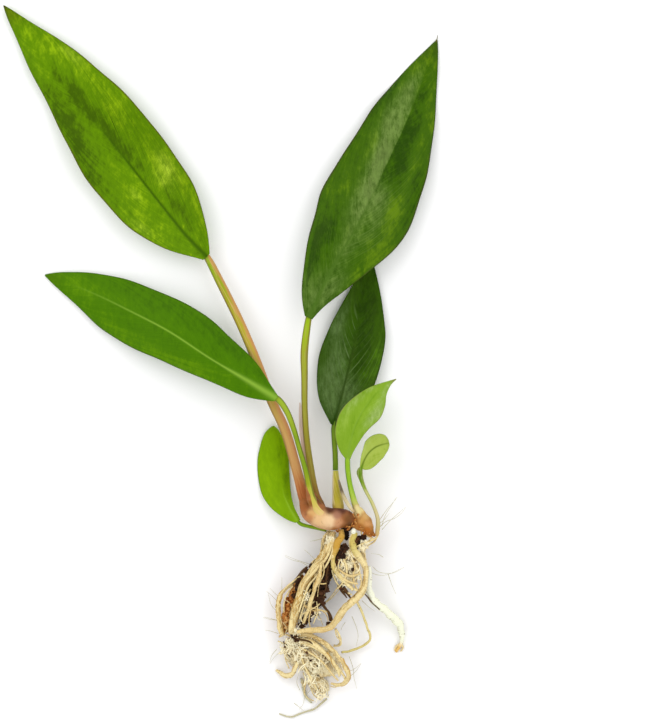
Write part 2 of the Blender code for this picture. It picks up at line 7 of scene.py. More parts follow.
import bpy
import numpy as np
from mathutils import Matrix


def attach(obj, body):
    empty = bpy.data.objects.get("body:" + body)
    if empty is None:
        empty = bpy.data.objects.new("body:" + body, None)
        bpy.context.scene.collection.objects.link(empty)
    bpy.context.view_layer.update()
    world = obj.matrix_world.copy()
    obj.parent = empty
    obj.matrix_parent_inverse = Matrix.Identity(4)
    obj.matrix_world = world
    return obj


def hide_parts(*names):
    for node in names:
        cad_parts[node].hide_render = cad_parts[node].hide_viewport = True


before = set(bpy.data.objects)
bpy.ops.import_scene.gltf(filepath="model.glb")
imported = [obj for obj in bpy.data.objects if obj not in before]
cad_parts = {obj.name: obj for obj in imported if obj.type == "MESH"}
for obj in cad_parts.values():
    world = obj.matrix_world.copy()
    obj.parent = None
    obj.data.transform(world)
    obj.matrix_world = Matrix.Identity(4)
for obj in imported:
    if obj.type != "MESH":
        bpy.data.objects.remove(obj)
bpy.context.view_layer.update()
MM = 0.001
TURN = 2 * np.pi
print("frame:", len(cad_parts), "nodes")

# %% [markdown]
# ## Camera, light and floor
# The plant lies on a table and is seen from straight above. A long lens keeps tall and low pieces in
# step. Wide, soft lights stand round the plant and not right over it, because a light overhead would
# be mirrored in every flat leaf and wash out its green.

# %% Camera, light and floor
FRAME_HEIGHT = 302.4
VIEW_CENTRE = (44.3, 0.0)
LENS = 400
SENSOR = 36
CAMERA_HEIGHT = FRAME_HEIGHT * LENS / SENSOR
NEAR_AND_FAR = (0.01, 20)

# Name: where it stands, in millimetres from the plant, its side, and its power in watts
LIGHTS = {
    "key": ((-900, 500, 1000), 1100, 5.8), "fill": ((950, 300, 900), 1100, 3.6),
    "front": ((0, -1100, 900), 1100, 3.6), "back": ((150, 1150, 900), 1100, 3.1),
}
ROOM_LIGHT = 0.78
# The floor reaches this far from the middle, in metres, and is an almost white, dull sheet
FLOOR_REACH = 3.0
FLOOR_COLOUR = (0.97, 0.97, 0.97, 1)
FLOOR_ROUGHNESS = 0.9


def set_stage():
    """Makes the camera, the lights, the room's even light and the floor."""
    camera = bpy.data.objects.new("camera", bpy.data.cameras.new("camera"))
    camera.data.lens = LENS
    camera.data.sensor_width = SENSOR
    camera.data.clip_start, camera.data.clip_end = NEAR_AND_FAR
    camera.location = (VIEW_CENTRE[0] * MM, VIEW_CENTRE[1] * MM, CAMERA_HEIGHT * MM)
    bpy.context.collection.objects.link(camera)
    bpy.context.scene.camera = camera
    for name, (place, side, power) in LIGHTS.items():
        lamp = bpy.data.lights.new(name, "AREA")
        lamp.size = side * MM
        lamp.energy = power
        stand = bpy.data.objects.new(name, lamp)
        stand.location = np.array(place) * MM
        stand.rotation_euler = stand.location.to_track_quat("Z", "Y").to_euler()
        bpy.context.collection.objects.link(stand)
    world = bpy.data.worlds.new("room")
    world.use_nodes = True
    sky = world.node_tree.nodes["Background"]
    sky.inputs["Color"].default_value = (1, 1, 1, 1)
    sky.inputs["Strength"].default_value = ROOM_LIGHT
    bpy.context.scene.world = world
    bpy.context.scene.view_settings.view_transform = "Standard"
    floor_mesh = bpy.data.meshes.new("floor")
    corners = [(x * FLOOR_REACH, y * FLOOR_REACH, 0) for x, y in ((-1, -1), (1, -1), (1, 1), (-1, 1))]
    floor_mesh.from_pydata(corners, [], [(0, 1, 2, 3)])
    floor = bpy.data.objects.new("floor", floor_mesh)
    bpy.context.collection.objects.link(floor)
    paint = bpy.data.materials.new("floor_white")
    paint.use_nodes = True
    shader = paint.node_tree.nodes["Principled BSDF"]
    shader.inputs["Base Color"].default_value = FLOOR_COLOUR
    shader.inputs["Roughness"].default_value = FLOOR_ROUGHNESS
    shader.inputs["Specular IOR Level"].default_value = 0.0
    floor_mesh.materials.append(paint)


set_stage()
print("camera height", round(CAMERA_HEIGHT), "mm")

# %% [markdown]
# ## Tables of numbers
# Most shapes here start from a few listed points. Written as a text, with a comma after each
# point and a semicolon after each list of points, they take little room and can be read at a glance.


# %% Tables of numbers
def table(text):
    """Rows of numbers from a text with a comma between two rows."""
    return [tuple(float(number) for number in row.split()) for row in text.split(",")]


def tables(text):
    """Several tables, with a semicolon between two."""
    return [table(part) for part in text.split(";")]


def named_tables(text):
    """Tables by name, with a colon after each name."""
    return {name.strip(): table(part) for name, part in (line.split(":") for line in text.split(";"))}


print("as written: 1 2, 3 4; 5 6 - as read:", tables("1 2, 3 4; 5 6"))

# %% [markdown]
# ## Smooth curves
# A stalk or a midrib is given by a few listed points. A Catmull-Rom curve passes through all of
# them, and points at equal distances along it make an even grid later. One could use Blender's own
# curve objects. As arrays, though, the same points can carry leaf widths, heights and colours too.


# %% Smooth curves
def distance_along(points):
    """How far each point of a line lies along it, from 0 at the first."""
    return np.append(0, np.cumsum(np.linalg.norm(np.diff(points, axis=0), axis=1)))


def smooth_route(points, count):
    """Points at equal distances on the curve through the given ones.

    Between points b and c, with neighbours a and d, the curve is b plus half of
    (c - a) t + (2a - 5b + 4c - d) t^2 + (3b - a - 3c + d) t^3, for t from 0 to 1.
    """
    p = np.asarray(points, float)
    steps = 12
    padded = np.vstack([p[:1], p, p[-1:]])
    i = np.repeat(np.arange(len(p) - 1), steps)
    t = np.tile(np.arange(steps) / steps, len(p) - 1)[:, None]
    a, b, c, d = (padded[i + k] for k in range(4))
    dense = b + ((c - a) * t + (2 * a - 5 * b + 4 * c - d) * t**2 + (3 * b - a - 3 * c + d) * t**3) / 2
    dense = np.vstack([dense, p[-1:]])
    travelled = distance_along(dense[:, :3])
    even = np.linspace(0, travelled[-1], count)
    return np.column_stack([np.interp(even, travelled, dense[:, k]) for k in range(dense.shape[1])])


def spaced_route(points, gap, least):
    """A smooth route with a point about every gap millimetres, and at least so many in all."""
    length = distance_along(np.array(points)[:, :3])[-1]
    return smooth_route(points, max(least, int(length / gap)))


def smooth_values(stations, values, shares):
    """Values at these shares on a curve through the stations that never overshoots them.

    Each span is a cubic that meets its ends with slopes no steeper than the straight spans beside them.
    """
    x, y = np.asarray(stations, float), np.asarray(values, float)
    span = np.diff(x)
    slope = np.diff(y) / span
    turn = np.sign(slope[:-1]) == np.sign(slope[1:])
    harmonic = 2 * slope[:-1] * slope[1:] / np.where(turn, slope[:-1] + slope[1:], 1)
    ends = np.concatenate([slope[:1], np.where(turn, harmonic, 0), slope[-1:]])
    i = np.clip(np.searchsorted(x, shares) - 1, 0, len(span) - 1)
    t = (shares - x[i]) / span[i]
    rise = y[i + 1] - y[i]
    start, end = ends[i] * span[i], ends[i + 1] * span[i]
    return y[i] + start * t + (3 * rise - 2 * start - end) * t**2 + (start + end - 2 * rise) * t**3


def softened(values, reach):
    """Evenly spaced values after a running mean over this share of them, with both ends kept.

    Beyond each end the values go on as their mirror image turned about the end, so slopes are kept.
    """
    half = max(1, int(len(values) * reach / 2))
    before = 2 * values[0] - values[half:0:-1]
    after = 2 * values[-1] - values[-2 : -half - 2 : -1]
    padded = np.concatenate([before, values, after])
    weights = np.hanning(2 * half + 3)[1:-1]
    return np.convolve(padded, weights / weights.sum(), "valid")


def sides_of(route):
    """(ahead, left, up) at each point of routes: the way on, level to the left, and square to both."""
    ahead = np.gradient(route[..., :3], axis=-2)
    ahead /= np.linalg.norm(ahead, axis=-1, keepdims=True) + 1e-12
    left = np.stack([-ahead[..., 1], ahead[..., 0], np.zeros_like(ahead[..., 0])], -1)
    left /= np.linalg.norm(left, axis=-1, keepdims=True) + 1e-12
    return ahead, left, np.cross(ahead, left)


def ripple(seed, *coordinates):
    """A smooth random height between about -1 and 1: a mean of sines in seeded directions and phases."""
    rng = np.random.default_rng(seed)
    waves = 5
    total = 0
    for _ in range(waves):
        turns = rng.uniform(0.4, 1.6, len(coordinates)) * rng.choice([-1, 1], len(coordinates))
        total = total + np.sin(sum(k * c for k, c in zip(turns, coordinates)) + rng.uniform(0, TURN))
    return total / waves**0.5 / 1.2


def linear(colour):
    """A display colour, each part out of 255, as the linear colour that a shader takes."""
    share = np.array(colour) / 255
    values = np.where(share <= 0.04045, share / 12.92, ((share + 0.055) / 1.055) ** 2.4)
    return (*(float(v) for v in values), 1.0)


print("three points made five:", smooth_route([(0, 0, 0), (5, 4, 1), (12, 5, 0)], 5).round(1).tolist())


# %% [markdown]
# ## From arrays to meshes
# Every piece here is a stack of rings: a ring is the section, and the stack follows a path. Faces are
# quads between neighbouring rings, and each end is closed by a fan of triangles to one middle point.
# A whole bundle of roots is one array with one more axis, so one function makes them all.


# %% From arrays to meshes
def ring_mesh(name, rings, attributes=(), smooth=True):
    """A mesh from rings shaped (tubes, rings, points, 3), in millimetres, with closed ends.

    Face k of ring i joins points k and k + 1 of ring i to those of ring i + 1, and the last point
    joins the first. Attributes are arrays of the same leading shape, one value or vector a point.
    """
    tubes, count, around = rings.shape[:3]
    grid = np.arange(tubes * count * around).reshape(tubes, count, around)
    here, there = grid, np.roll(grid, -1, axis=2)
    quads = np.stack([here[:, :-1], there[:, :-1], there[:, 1:], here[:, 1:]], -1).reshape(-1, 4)
    first = tubes * count * around + np.arange(tubes)
    last = first + tubes
    fans = np.concatenate([
        np.stack([there[:, 0], here[:, 0], first[:, None] + 0 * here[:, 0]], -1).reshape(-1, 3),
        np.stack([here[:, -1], there[:, -1], last[:, None] + 0 * here[:, -1]], -1).reshape(-1, 3),
    ])
    points = np.concatenate([rings.reshape(-1, 3), rings[:, 0].mean(1), rings[:, -1].mean(1)])
    mesh = bpy.data.meshes.new(name)
    mesh.vertices.add(len(points))
    mesh.vertices.foreach_set("co", (points * MM).ravel())
    mesh.loops.add(quads.size + fans.size)
    mesh.loops.foreach_set("vertex_index", np.concatenate([quads.ravel(), fans.ravel()]).astype(np.int32))
    starts = np.concatenate([np.arange(len(quads)) * 4, quads.size + np.arange(len(fans)) * 3])
    mesh.polygons.add(len(starts))
    mesh.polygons.foreach_set("loop_start", starts.astype(np.int32))
    mesh.update(calc_edges=True)
    mesh.polygons.foreach_set("use_smooth", np.full(len(starts), smooth))
    for label, values in dict(attributes).items():
        values = np.asarray(values, float)
        width = 3 if values.ndim == 4 else 1
        flat = values.reshape(tubes, count, around, width)
        spread = np.concatenate([flat.reshape(-1, width), flat[:, 0].mean(1), flat[:, -1].mean(1)])
        kind, field = ("FLOAT_VECTOR", "vector") if width == 3 else ("FLOAT", "value")
        mesh.attributes.new(label, kind, "POINT").data.foreach_set(field, spread.ravel())
    return mesh


def add_piece(name, mesh, material, replaced=()):
    """Puts a mesh in the scene: it rides on the plant and stands for model nodes."""
    piece = bpy.data.objects.new(name, mesh)
    bpy.context.collection.objects.link(piece)
    mesh.materials.append(material)
    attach(piece, "root")
    if replaced:
        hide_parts(*replaced)
    return piece


print("helpers for meshes and pieces ready")


# %% [markdown]
# ## Shader maths
# A finish is worked out from a few patterns. Writing the sums as Python expressions is shorter than
# placing nodes by hand: the class below wraps one socket, and each + or * adds a Math node.


# %% Shader maths
class Value:
    """A value that changes over a surface, held by a socket. Sums on it add Math nodes."""

    def __init__(self, tree, socket=None):
        self.tree = tree
        self.socket = socket

    def node(self, kind, settings=(), inputs=(), output=0):
        """Adds a node of any type: settings first, then the values or links of its sockets."""
        made = self.tree.nodes.new("ShaderNode" + kind)
        for key, value in dict(settings).items():
            if key == "stops":
                ramp = made.color_ramp.elements
                while len(ramp) < len(value):
                    ramp.new(0.5)
                for element, (place, colour) in zip(ramp, value):
                    element.position = place
                    element.color = colour
            else:
                setattr(made, key, value)
        for key, value in dict(inputs).items():
            if isinstance(value, Value):
                self.tree.links.new(value.socket, made.inputs[key])
            else:
                made.inputs[key].default_value = value
        return Value(self.tree, made.outputs[output])

    def sum(self, operation, *values):
        return self.node("Math", {"operation": operation}, dict(enumerate(values)))

    def __add__(self, other):
        return self.sum("ADD", self, other)

    def __radd__(self, other):
        return self.sum("ADD", other, self)

    def __sub__(self, other):
        return self.sum("SUBTRACT", self, other)

    def __rsub__(self, other):
        return self.sum("SUBTRACT", other, self)

    def __mul__(self, other):
        return self.sum("MULTIPLY", self, other)

    def __rmul__(self, other):
        return self.sum("MULTIPLY", other, self)

    def __truediv__(self, other):
        return self.sum("DIVIDE", self, other)

    def __abs__(self):
        return self.sum("ABSOLUTE", self)

    def smooth(self, low, high):
        """0 below low, 1 above high, with a soft step between."""
        settings = {"interpolation_type": "SMOOTHSTEP"}
        return self.node("MapRange", settings, {0: self, 1: low, 2: high, 3: 0.0, 4: 1.0})

    def mix(self, low, high):
        """The colour low where this is 0 and high where it is 1: Values, or display colours."""
        low, high = (end if isinstance(end, Value) else linear(end) for end in (low, high))
        return self.node("Mix", {"data_type": "RGBA"}, {0: self, 6: low, 7: high}, 2)

    def ramp(self, *stops):
        """Colours along this value, from stops that hold a share and a display colour."""
        return self.node("ValToRGB", {"stops": [(at, linear(colour)) for at, *colour in stops]}, {0: self})

    def attribute(self, name, output=2):
        """A value that the mesh carries: output 2 is a number, and 1 a vector."""
        return self.node("Attribute", {"attribute_name": name}, (), output)

    def stretched(self, scale):
        """This vector with each part multiplied."""
        return self.node("VectorMath", {"operation": "MULTIPLY"}, {0: self, 1: scale})

    def noise(self, scale, detail=3.0, roughness=0.55):
        """Cloudy noise read at this vector, about 0.5 on the mean."""
        inputs = {"Vector": self, "Scale": scale, "Detail": detail, "Roughness": roughness}
        return self.node("TexNoise", (), inputs)

    def edges(self, scale):
        """How far this vector is from the borders of a pattern of cells."""
        settings = {"feature": "DISTANCE_TO_EDGE"}
        return self.node("TexVoronoi", settings, {"Vector": self, "Scale": scale})

    def first(self):
        """The x of this vector."""
        return self.node("SeparateXYZ", (), {0: self})

    def place(self):
        """Where a point lies on its piece: the Object coordinates."""
        return self.node("TexCoord", (), (), 3)


def new_finish(name):
    """(material, base) for a new material. Base has no socket yet and only makes nodes."""
    material = bpy.data.materials.new(name)
    material.use_nodes = True
    return material, Value(material.node_tree)


def close_finish(material, base, colour, roughness, height, depth, gleam, shine=(1.0, 1.0, 1.0, 1.0)):
    """Feeds the shader. Height in shares of depth millimetres bends the normal.

    Gleam is how strongly the surface mirrors the lights, and shine is the colour of what it mirrors.
    """
    shader = material.node_tree.nodes["Principled BSDF"]
    bump = base.node("Bump", (), {"Height": height, "Distance": depth * MM, "Strength": 1.0})
    links = {"Base Color": colour, "Roughness": roughness, "Normal": bump}
    for key, value in links.items():
        if isinstance(value, Value):
            material.node_tree.links.new(value.socket, shader.inputs[key])
        else:
            shader.inputs[key].default_value = value
    shader.inputs["Specular IOR Level"].default_value = gleam
    shader.inputs["Specular Tint"].default_value = shine
    return material


print("shader class ready:", ", ".join(name for name in vars(Value) if not name.startswith("_")))


# %% [markdown]
# ## Leaf blades
# A blade is a thin, slightly arched sheet on a midrib. The midrib is a groove on the upper face and a
# keel below. Side veins leave it at a sharp angle and bend towards the tip. The sheet could be a plane
# with a Solidify modifier. A closed section carried along the midrib is used here, because its
# thickness, groove and veins can then all be formulas of the same two parameters.

# %% Measured outlines of the blades
STATIONS = (0, 0.05, 0.12, 0.25, 0.4, 0.55, 0.7, 0.82, 0.92, 0.97, 1)

# Midrib (x, y, height), half-widths on the left and right seen from base to tip, and how the margins
# rise or droop, as in the model. Wave and waves: how far a margin swings up and down, and how often.
# Veins: how far apart along the midrib, and slope: how far each runs on for a step out. Rib: how high it
# stands on the upper face (below zero, how deep it lies), its half-width at the base and at the tip, and
# the share of the blade over which it can be seen. All lengths are in millimetres
BLADES = {
    "upper_left": {
        "midrib": table("""
            -5.5 43.3 7.5, -14.7 52.9 5.6, -25.2 65.9 3.4, -37.8 81.9 1.8, -50.4 97.4 1.4, -65.1 114.2 1.3,
            -79.8 133.6 1.3, -90.7 148.7 2"""),
        "left": (2.2, 6.0, 11.5, 17.3, 18.2, 14.8, 9.2, 6.1, 3.3, 1.7, 0.3),
        "right": (1.8, 7.6, 12.0, 17.0, 17.8, 17.4, 15.1, 10.2, 4.6, 2.2, 0.3), "rise": 5.5, "wave": 0.9,
        "waves": 2.5, "veins": 8.0, "slope": 2.4, "slot": "bright_leaf", "rib": (-0.5, 1.0, 0.45, 0.62),
    },
    "upper_right": {
        "midrib": table("""
            37.4 17.6 13, 42.8 29.8 14, 51.2 45.4 14, 59.6 59.6 12.5, 68.5 79 9.5, 76.4 95.8 6.5,
            84 114.2 3.1, 91.1 134.4 0.9"""),
        "left": (1.8, 5.8, 10.0, 16.2, 20.3, 18.2, 15.5, 10.9, 5.8, 2.6, 0.3),
        "right": (1.5, 3.6, 8.4, 15.0, 19.7, 18.4, 12.8, 8.0, 4.0, 2.1, 0.3), "rise": -4.0, "wave": 0.8,
        "waves": 2.0, "veins": 10.0, "slope": 1.3, "slot": "dark_leaf", "rib": (-0.3, 1.2, 0.5, 0.5),
    },
    "middle_left": {
        "midrib": table("""
            23.9 -16 17, 12.6 -9.2 16.6, -4.2 0.8 14.5, -21 11.8 11, -37.8 20.6 7.2, -54.6 28.6 3.6,
            -73.5 35.7 0.8"""),
        "left": (1.5, 4.0, 6.7, 8.3, 11.4, 13.3, 12.5, 8.4, 4.4, 2.0, 0.3),
        "right": (1.2, 3.8, 7.8, 11.6, 14.0, 13.1, 11.5, 8.2, 4.5, 2.6, 0.3), "rise": -2.5, "wave": 0.6,
        "waves": 2.5, "veins": 7.0, "slope": 1.6, "slot": "mid_leaf", "rib": (0.35, 1.5, 0.33, 0.9),
    },
    "back_right": {
        "midrib": table("""
            47.9 -27.3 8, 50.4 -17.6 5.4, 53.3 -6.3 2.8, 56.7 8.4 1.6, 60.1 25.2 1.2, 63.4 42.8 2"""),
        "left": (1.5, 4.6, 8.6, 12.0, 13.4, 11.8, 8.6, 5.6, 3.0, 1.4, 0.3),
        "right": (1.5, 4.2, 8.2, 11.8, 12.8, 12.4, 9.6, 6.3, 3.2, 1.5, 0.3), "rise": 2.5, "wave": 0.5,
        "waves": 2.0, "veins": 8.0, "slope": 1.4, "slot": "dark_leaf", "rib": (-0.35, 0.9, 0.4, 0.6),
    },
    "front_right": {
        "midrib": table("""
            53.6 -41.2 14.5, 54.6 -34.9 15.5, 56.7 -27.3 16.5, 60.5 -20.2 16.5, 66.4 -12.6 15,
            73.9 -8 12.5"""),
        "left": (1.3, 3.2, 5.1, 7.4, 8.0, 6.6, 4.2, 2.0, 0.9, 0.5, 0.2),
        "right": (1.2, 1.7, 2.7, 4.4, 6.3, 7.9, 6.5, 3.6, 1.1, 0.4, 0.2), "rise": 1.5, "wave": 0.4,
        "waves": 1.5, "veins": 5.0, "slope": 1.6, "slot": "young_leaf", "rib": (0.1, 0.9, 0.3, 0.8),
    },
    "small_left": {
        "midrib": table("""
            32.8 -67.6 9, 29.4 -62.2 6.4, 26.9 -56.3 4, 25.2 -48.3 2.7, 23.9 -37.8 2.3, 22.3 -27.7 2.4"""),
        "left": (1.2, 2.9, 4.5, 7.3, 9.1, 9.2, 8.6, 6.8, 4.7, 3.0, 0.6),
        "right": (1.2, 1.5, 1.7, 2.6, 3.5, 4.1, 4.4, 3.6, 2.6, 1.7, 0.5), "rise": -1.8, "wave": 0.3,
        "waves": 1.5, "veins": 5.0, "slope": 2.0, "slot": "bright_leaf", "rib": (0.12, 0.8, 0.3, 0.4),
    },
    "small_right": {
        "midrib": table("""
            59.2 -45.4 13.4, 60.5 -42 13.8, 62.2 -39.1 14, 64.7 -36.8 13.8, 67.6 -35.5 13, 71 -34.7 12"""),
        "left": (0.7, 0.9, 1.2, 1.9, 2.8, 4.6, 5.1, 4.8, 3.8, 3.0, 1.2),
        "right": (1.6, 3.6, 4.4, 5.4, 5.8, 5.8, 5.6, 4.5, 3.2, 2.0, 0.8), "rise": 0.8, "wave": 0.2,
        "waves": 1.5, "veins": 4.0, "slope": 1.4, "slot": "young_leaf", "rib": (-0.2, 0.5, 0.35, 1.2),
    },
}
# A thin scale: its midrib, its half-width on both sides, and how its margins rise or droop
MEMBRANES = {
    "sheath_upper_right": {
        "midrib": table("33.6 -17.8 9.3, 34.3 -26 9.3, 35.2 -33.6 9.3, 36.4 -41 9.2, 37.6 -46.5 9.2"),
        "half": (0.3, 0.5, 0.8, 1.1, 1.4, 1.4, 1.2, 0.9, 0.6, 0.4, 0.3), "rise": 0.2,
    },
    "scale_leaf": {
        "midrib": table("""
            49.8 -50 14.6, 50.8 -53.8 14.8, 52.1 -57.5 15.4, 54.4 -61.4 16.3, 56.2 -63.6 17.1"""),
        "half": (0.3, 0.4, 0.5, 0.6, 0.7, 0.8, 0.8, 0.7, 0.6, 0.5, 0.4), "rise": -0.4,
    },
}
PLAIN_SHEET = {"wave": 0.0, "waves": 1.0, "veins": 5.0, "slope": 2.0, "rib": (0.0, 0.5, 0.5, 1)}
print(len(BLADES), "blades and", len(MEMBRANES), "thin scales")

# %% Blade shape
# Thickness, in millimetres
MARGIN_THICKNESS = 0.35
MIDRIB_THICKNESS = 2.0
TIP_MIDRIB_THICKNESS = 0.7
MIDRIB_SPREAD = 1.2
# Relief and wandering, in millimetres, on a blade whose wider half measures WIDE_BLADE. Narrower blades
# have less in proportion
WIDE_BLADE = 20
VEIN_RELIEF = 0.05
SWELL_RELIEF = 0.35
MARGIN_RELIEF = 0.6
OUTLINE_WANDER = 0.2
VEIN_WANDER = 1.1
# The grid: its rows are about this far apart and crowd to the base and tip, its columns to the midrib
ROW_LENGTH = 0.7
END_CROWDING = 0.4
HALF_COLUMNS = 26
MIDRIB_CROWDING = 1.25
# The outline is smoothed over this share of the length, at so many points, and a patch that keeps to one
# side fades over this share of the half-width
OUTLINE_SOFTNESS = 0.12
DENSE = 400
SIDE_FADE = 0.04


def patch_sum(patches, along, across):
    """The sum of soft oval patches: strength times exp of minus the squared distance in reaches.

    A patch that ends with 1 keeps to the left of the midrib, and with -1 to the right.
    """
    total = 0 * (along + across)
    for centre, middle, reach, spread, strength, *side in patches:
        oval = np.exp(-(((along - centre) / reach) ** 2) - ((across - middle) / spread) ** 2)
        kept = np.clip(side[0] * across / SIDE_FADE + 0.5, 0, 1) if side else 1
        total += strength * oval * kept
    return total


def blade_rings(shape, seed):
    """(rings, attributes) of a blade: a closed section carried along the midrib.

    Upper face: the midrib's height plus rise times the squared share of the half-width, plus a rib or
    groove of bell-shaped section, plus faint ridges between the side veins and a random unevenness.
    Lower face: the upper less the thickness, which is greatest at the midrib and fades from it.
    A side vein runs at slope / (1 - v) along for each step out, where v is the share of the half-width,
    so it bends until it follows the margin. Summed up, that is slope times the half-width times
    -ln(1 - v), and the distance along less that says which vein a point is near.
    """
    length = distance_along(np.array(shape["midrib"])[:, :2])[-1]
    rows = max(24, int(length / ROW_LENGTH))
    even = np.linspace(0, 1, rows)
    along = even + ((1 - np.cos(np.pi * even)) / 2 - even) * END_CROWDING
    dense = np.linspace(0, 1, DENSE)
    route = smooth_route(shape["midrib"], DENSE)
    middle = np.column_stack([np.interp(along, dense, route[:, k]) for k in range(3)])
    _, left, _ = sides_of(np.column_stack([middle[:, :2], np.zeros(rows)]))
    spread = np.linspace(1, -1, 2 * HALF_COLUMNS + 1)
    top_across = np.sign(spread) * np.abs(spread) ** MIDRIB_CROWDING
    across = np.concatenate([top_across, top_across[::-1]])[None, :] + np.zeros((rows, 1))
    upper = np.repeat([1.0, 0.0], len(spread))[None, :] + np.zeros((rows, 1))
    along = along[:, None] + 0 * across
    half = {}
    for side in ("left", "right"):
        values = softened(smooth_values(STATIONS, shape[side], dense), OUTLINE_SOFTNESS)
        half[side] = np.interp(along, dense, values)
    half = np.where(across > 0, half["left"], half["right"])
    off = np.abs(across) * half
    travelled = along * length
    widest = max(*shape["left"], *shape["right"])
    size = widest / WIDE_BLADE
    phase = travelled + shape["slope"] * half * np.log(1.03 - np.abs(across))
    phase = phase + np.where(across > 0, shape["veins"] / 2, 0)
    phase = phase + VEIN_WANDER * ripple(seed + 5, travelled / 11 + np.sign(across) * 5, off / 6)
    beat = np.cos(TURN * phase / shape["veins"])
    inner = np.clip(off / 2, 0, 1) * np.clip((1 - np.abs(across)) * 6, 0, 1) * np.clip((1 - along) * 5, 0, 1)
    stands, base_width, tip_width, seen = shape["rib"]
    rib_width = base_width + (tip_width - base_width) * np.clip(along / 0.25, 0, 1)
    rib = np.exp(-((off / rib_width) ** 2)) * np.clip((seen - along) / seen * 2.5, 0, 1)
    lift = (shape["rise"] + shape["wave"] * np.sin(TURN * shape["waves"] * along)) * across**2 * half / widest
    height = middle[:, 2:3] + lift + stands * rib
    height = height + VEIN_RELIEF * size * inner * (1 - np.abs(beat) ** 6 * 2)
    height = height + SWELL_RELIEF * size * inner * ripple(seed, travelled / 9, across * half / 7)
    height = height + MARGIN_RELIEF * size * across**4 * ripple(seed + 1, travelled / 6 + across * 2)
    keel = MIDRIB_THICKNESS + (TIP_MIDRIB_THICKNESS - MIDRIB_THICKNESS) * along
    keel = np.minimum(keel, MARGIN_THICKNESS + half * 0.9)
    thick = MARGIN_THICKNESS + (keel - MARGIN_THICKNESS) * np.exp(-off / MIDRIB_SPREAD)
    thick = thick * np.clip((1 - np.abs(across)) * 8 + 0.45, 0, 1)
    height = np.where(upper > 0, height, height - thick)
    height = np.maximum(height, 0.06 + 0.12 * upper)
    wander = OUTLINE_WANDER * size * ripple(seed + 2, travelled / 5 + np.sign(across) * 9)
    sideways = across * (half + wander * np.clip(half / 3, 0, 1))
    points = middle[:, None, :] + left[:, None, :] * sideways[..., None]
    points[..., 2] = height
    veins = np.stack([phase, across * half, seed * 7.0 + 0 * height], -1)
    attributes = {"veins": veins, "off": off, "across": across, "upper": upper, "along": along, "rib": rib}
    return points[None], {label: values[None] for label, values in attributes.items()}


longest = max(distance_along(np.array(shape["midrib"])[:, :2])[-1] for shape in BLADES.values())
print("the longest blade measures", round(longest), "mm")
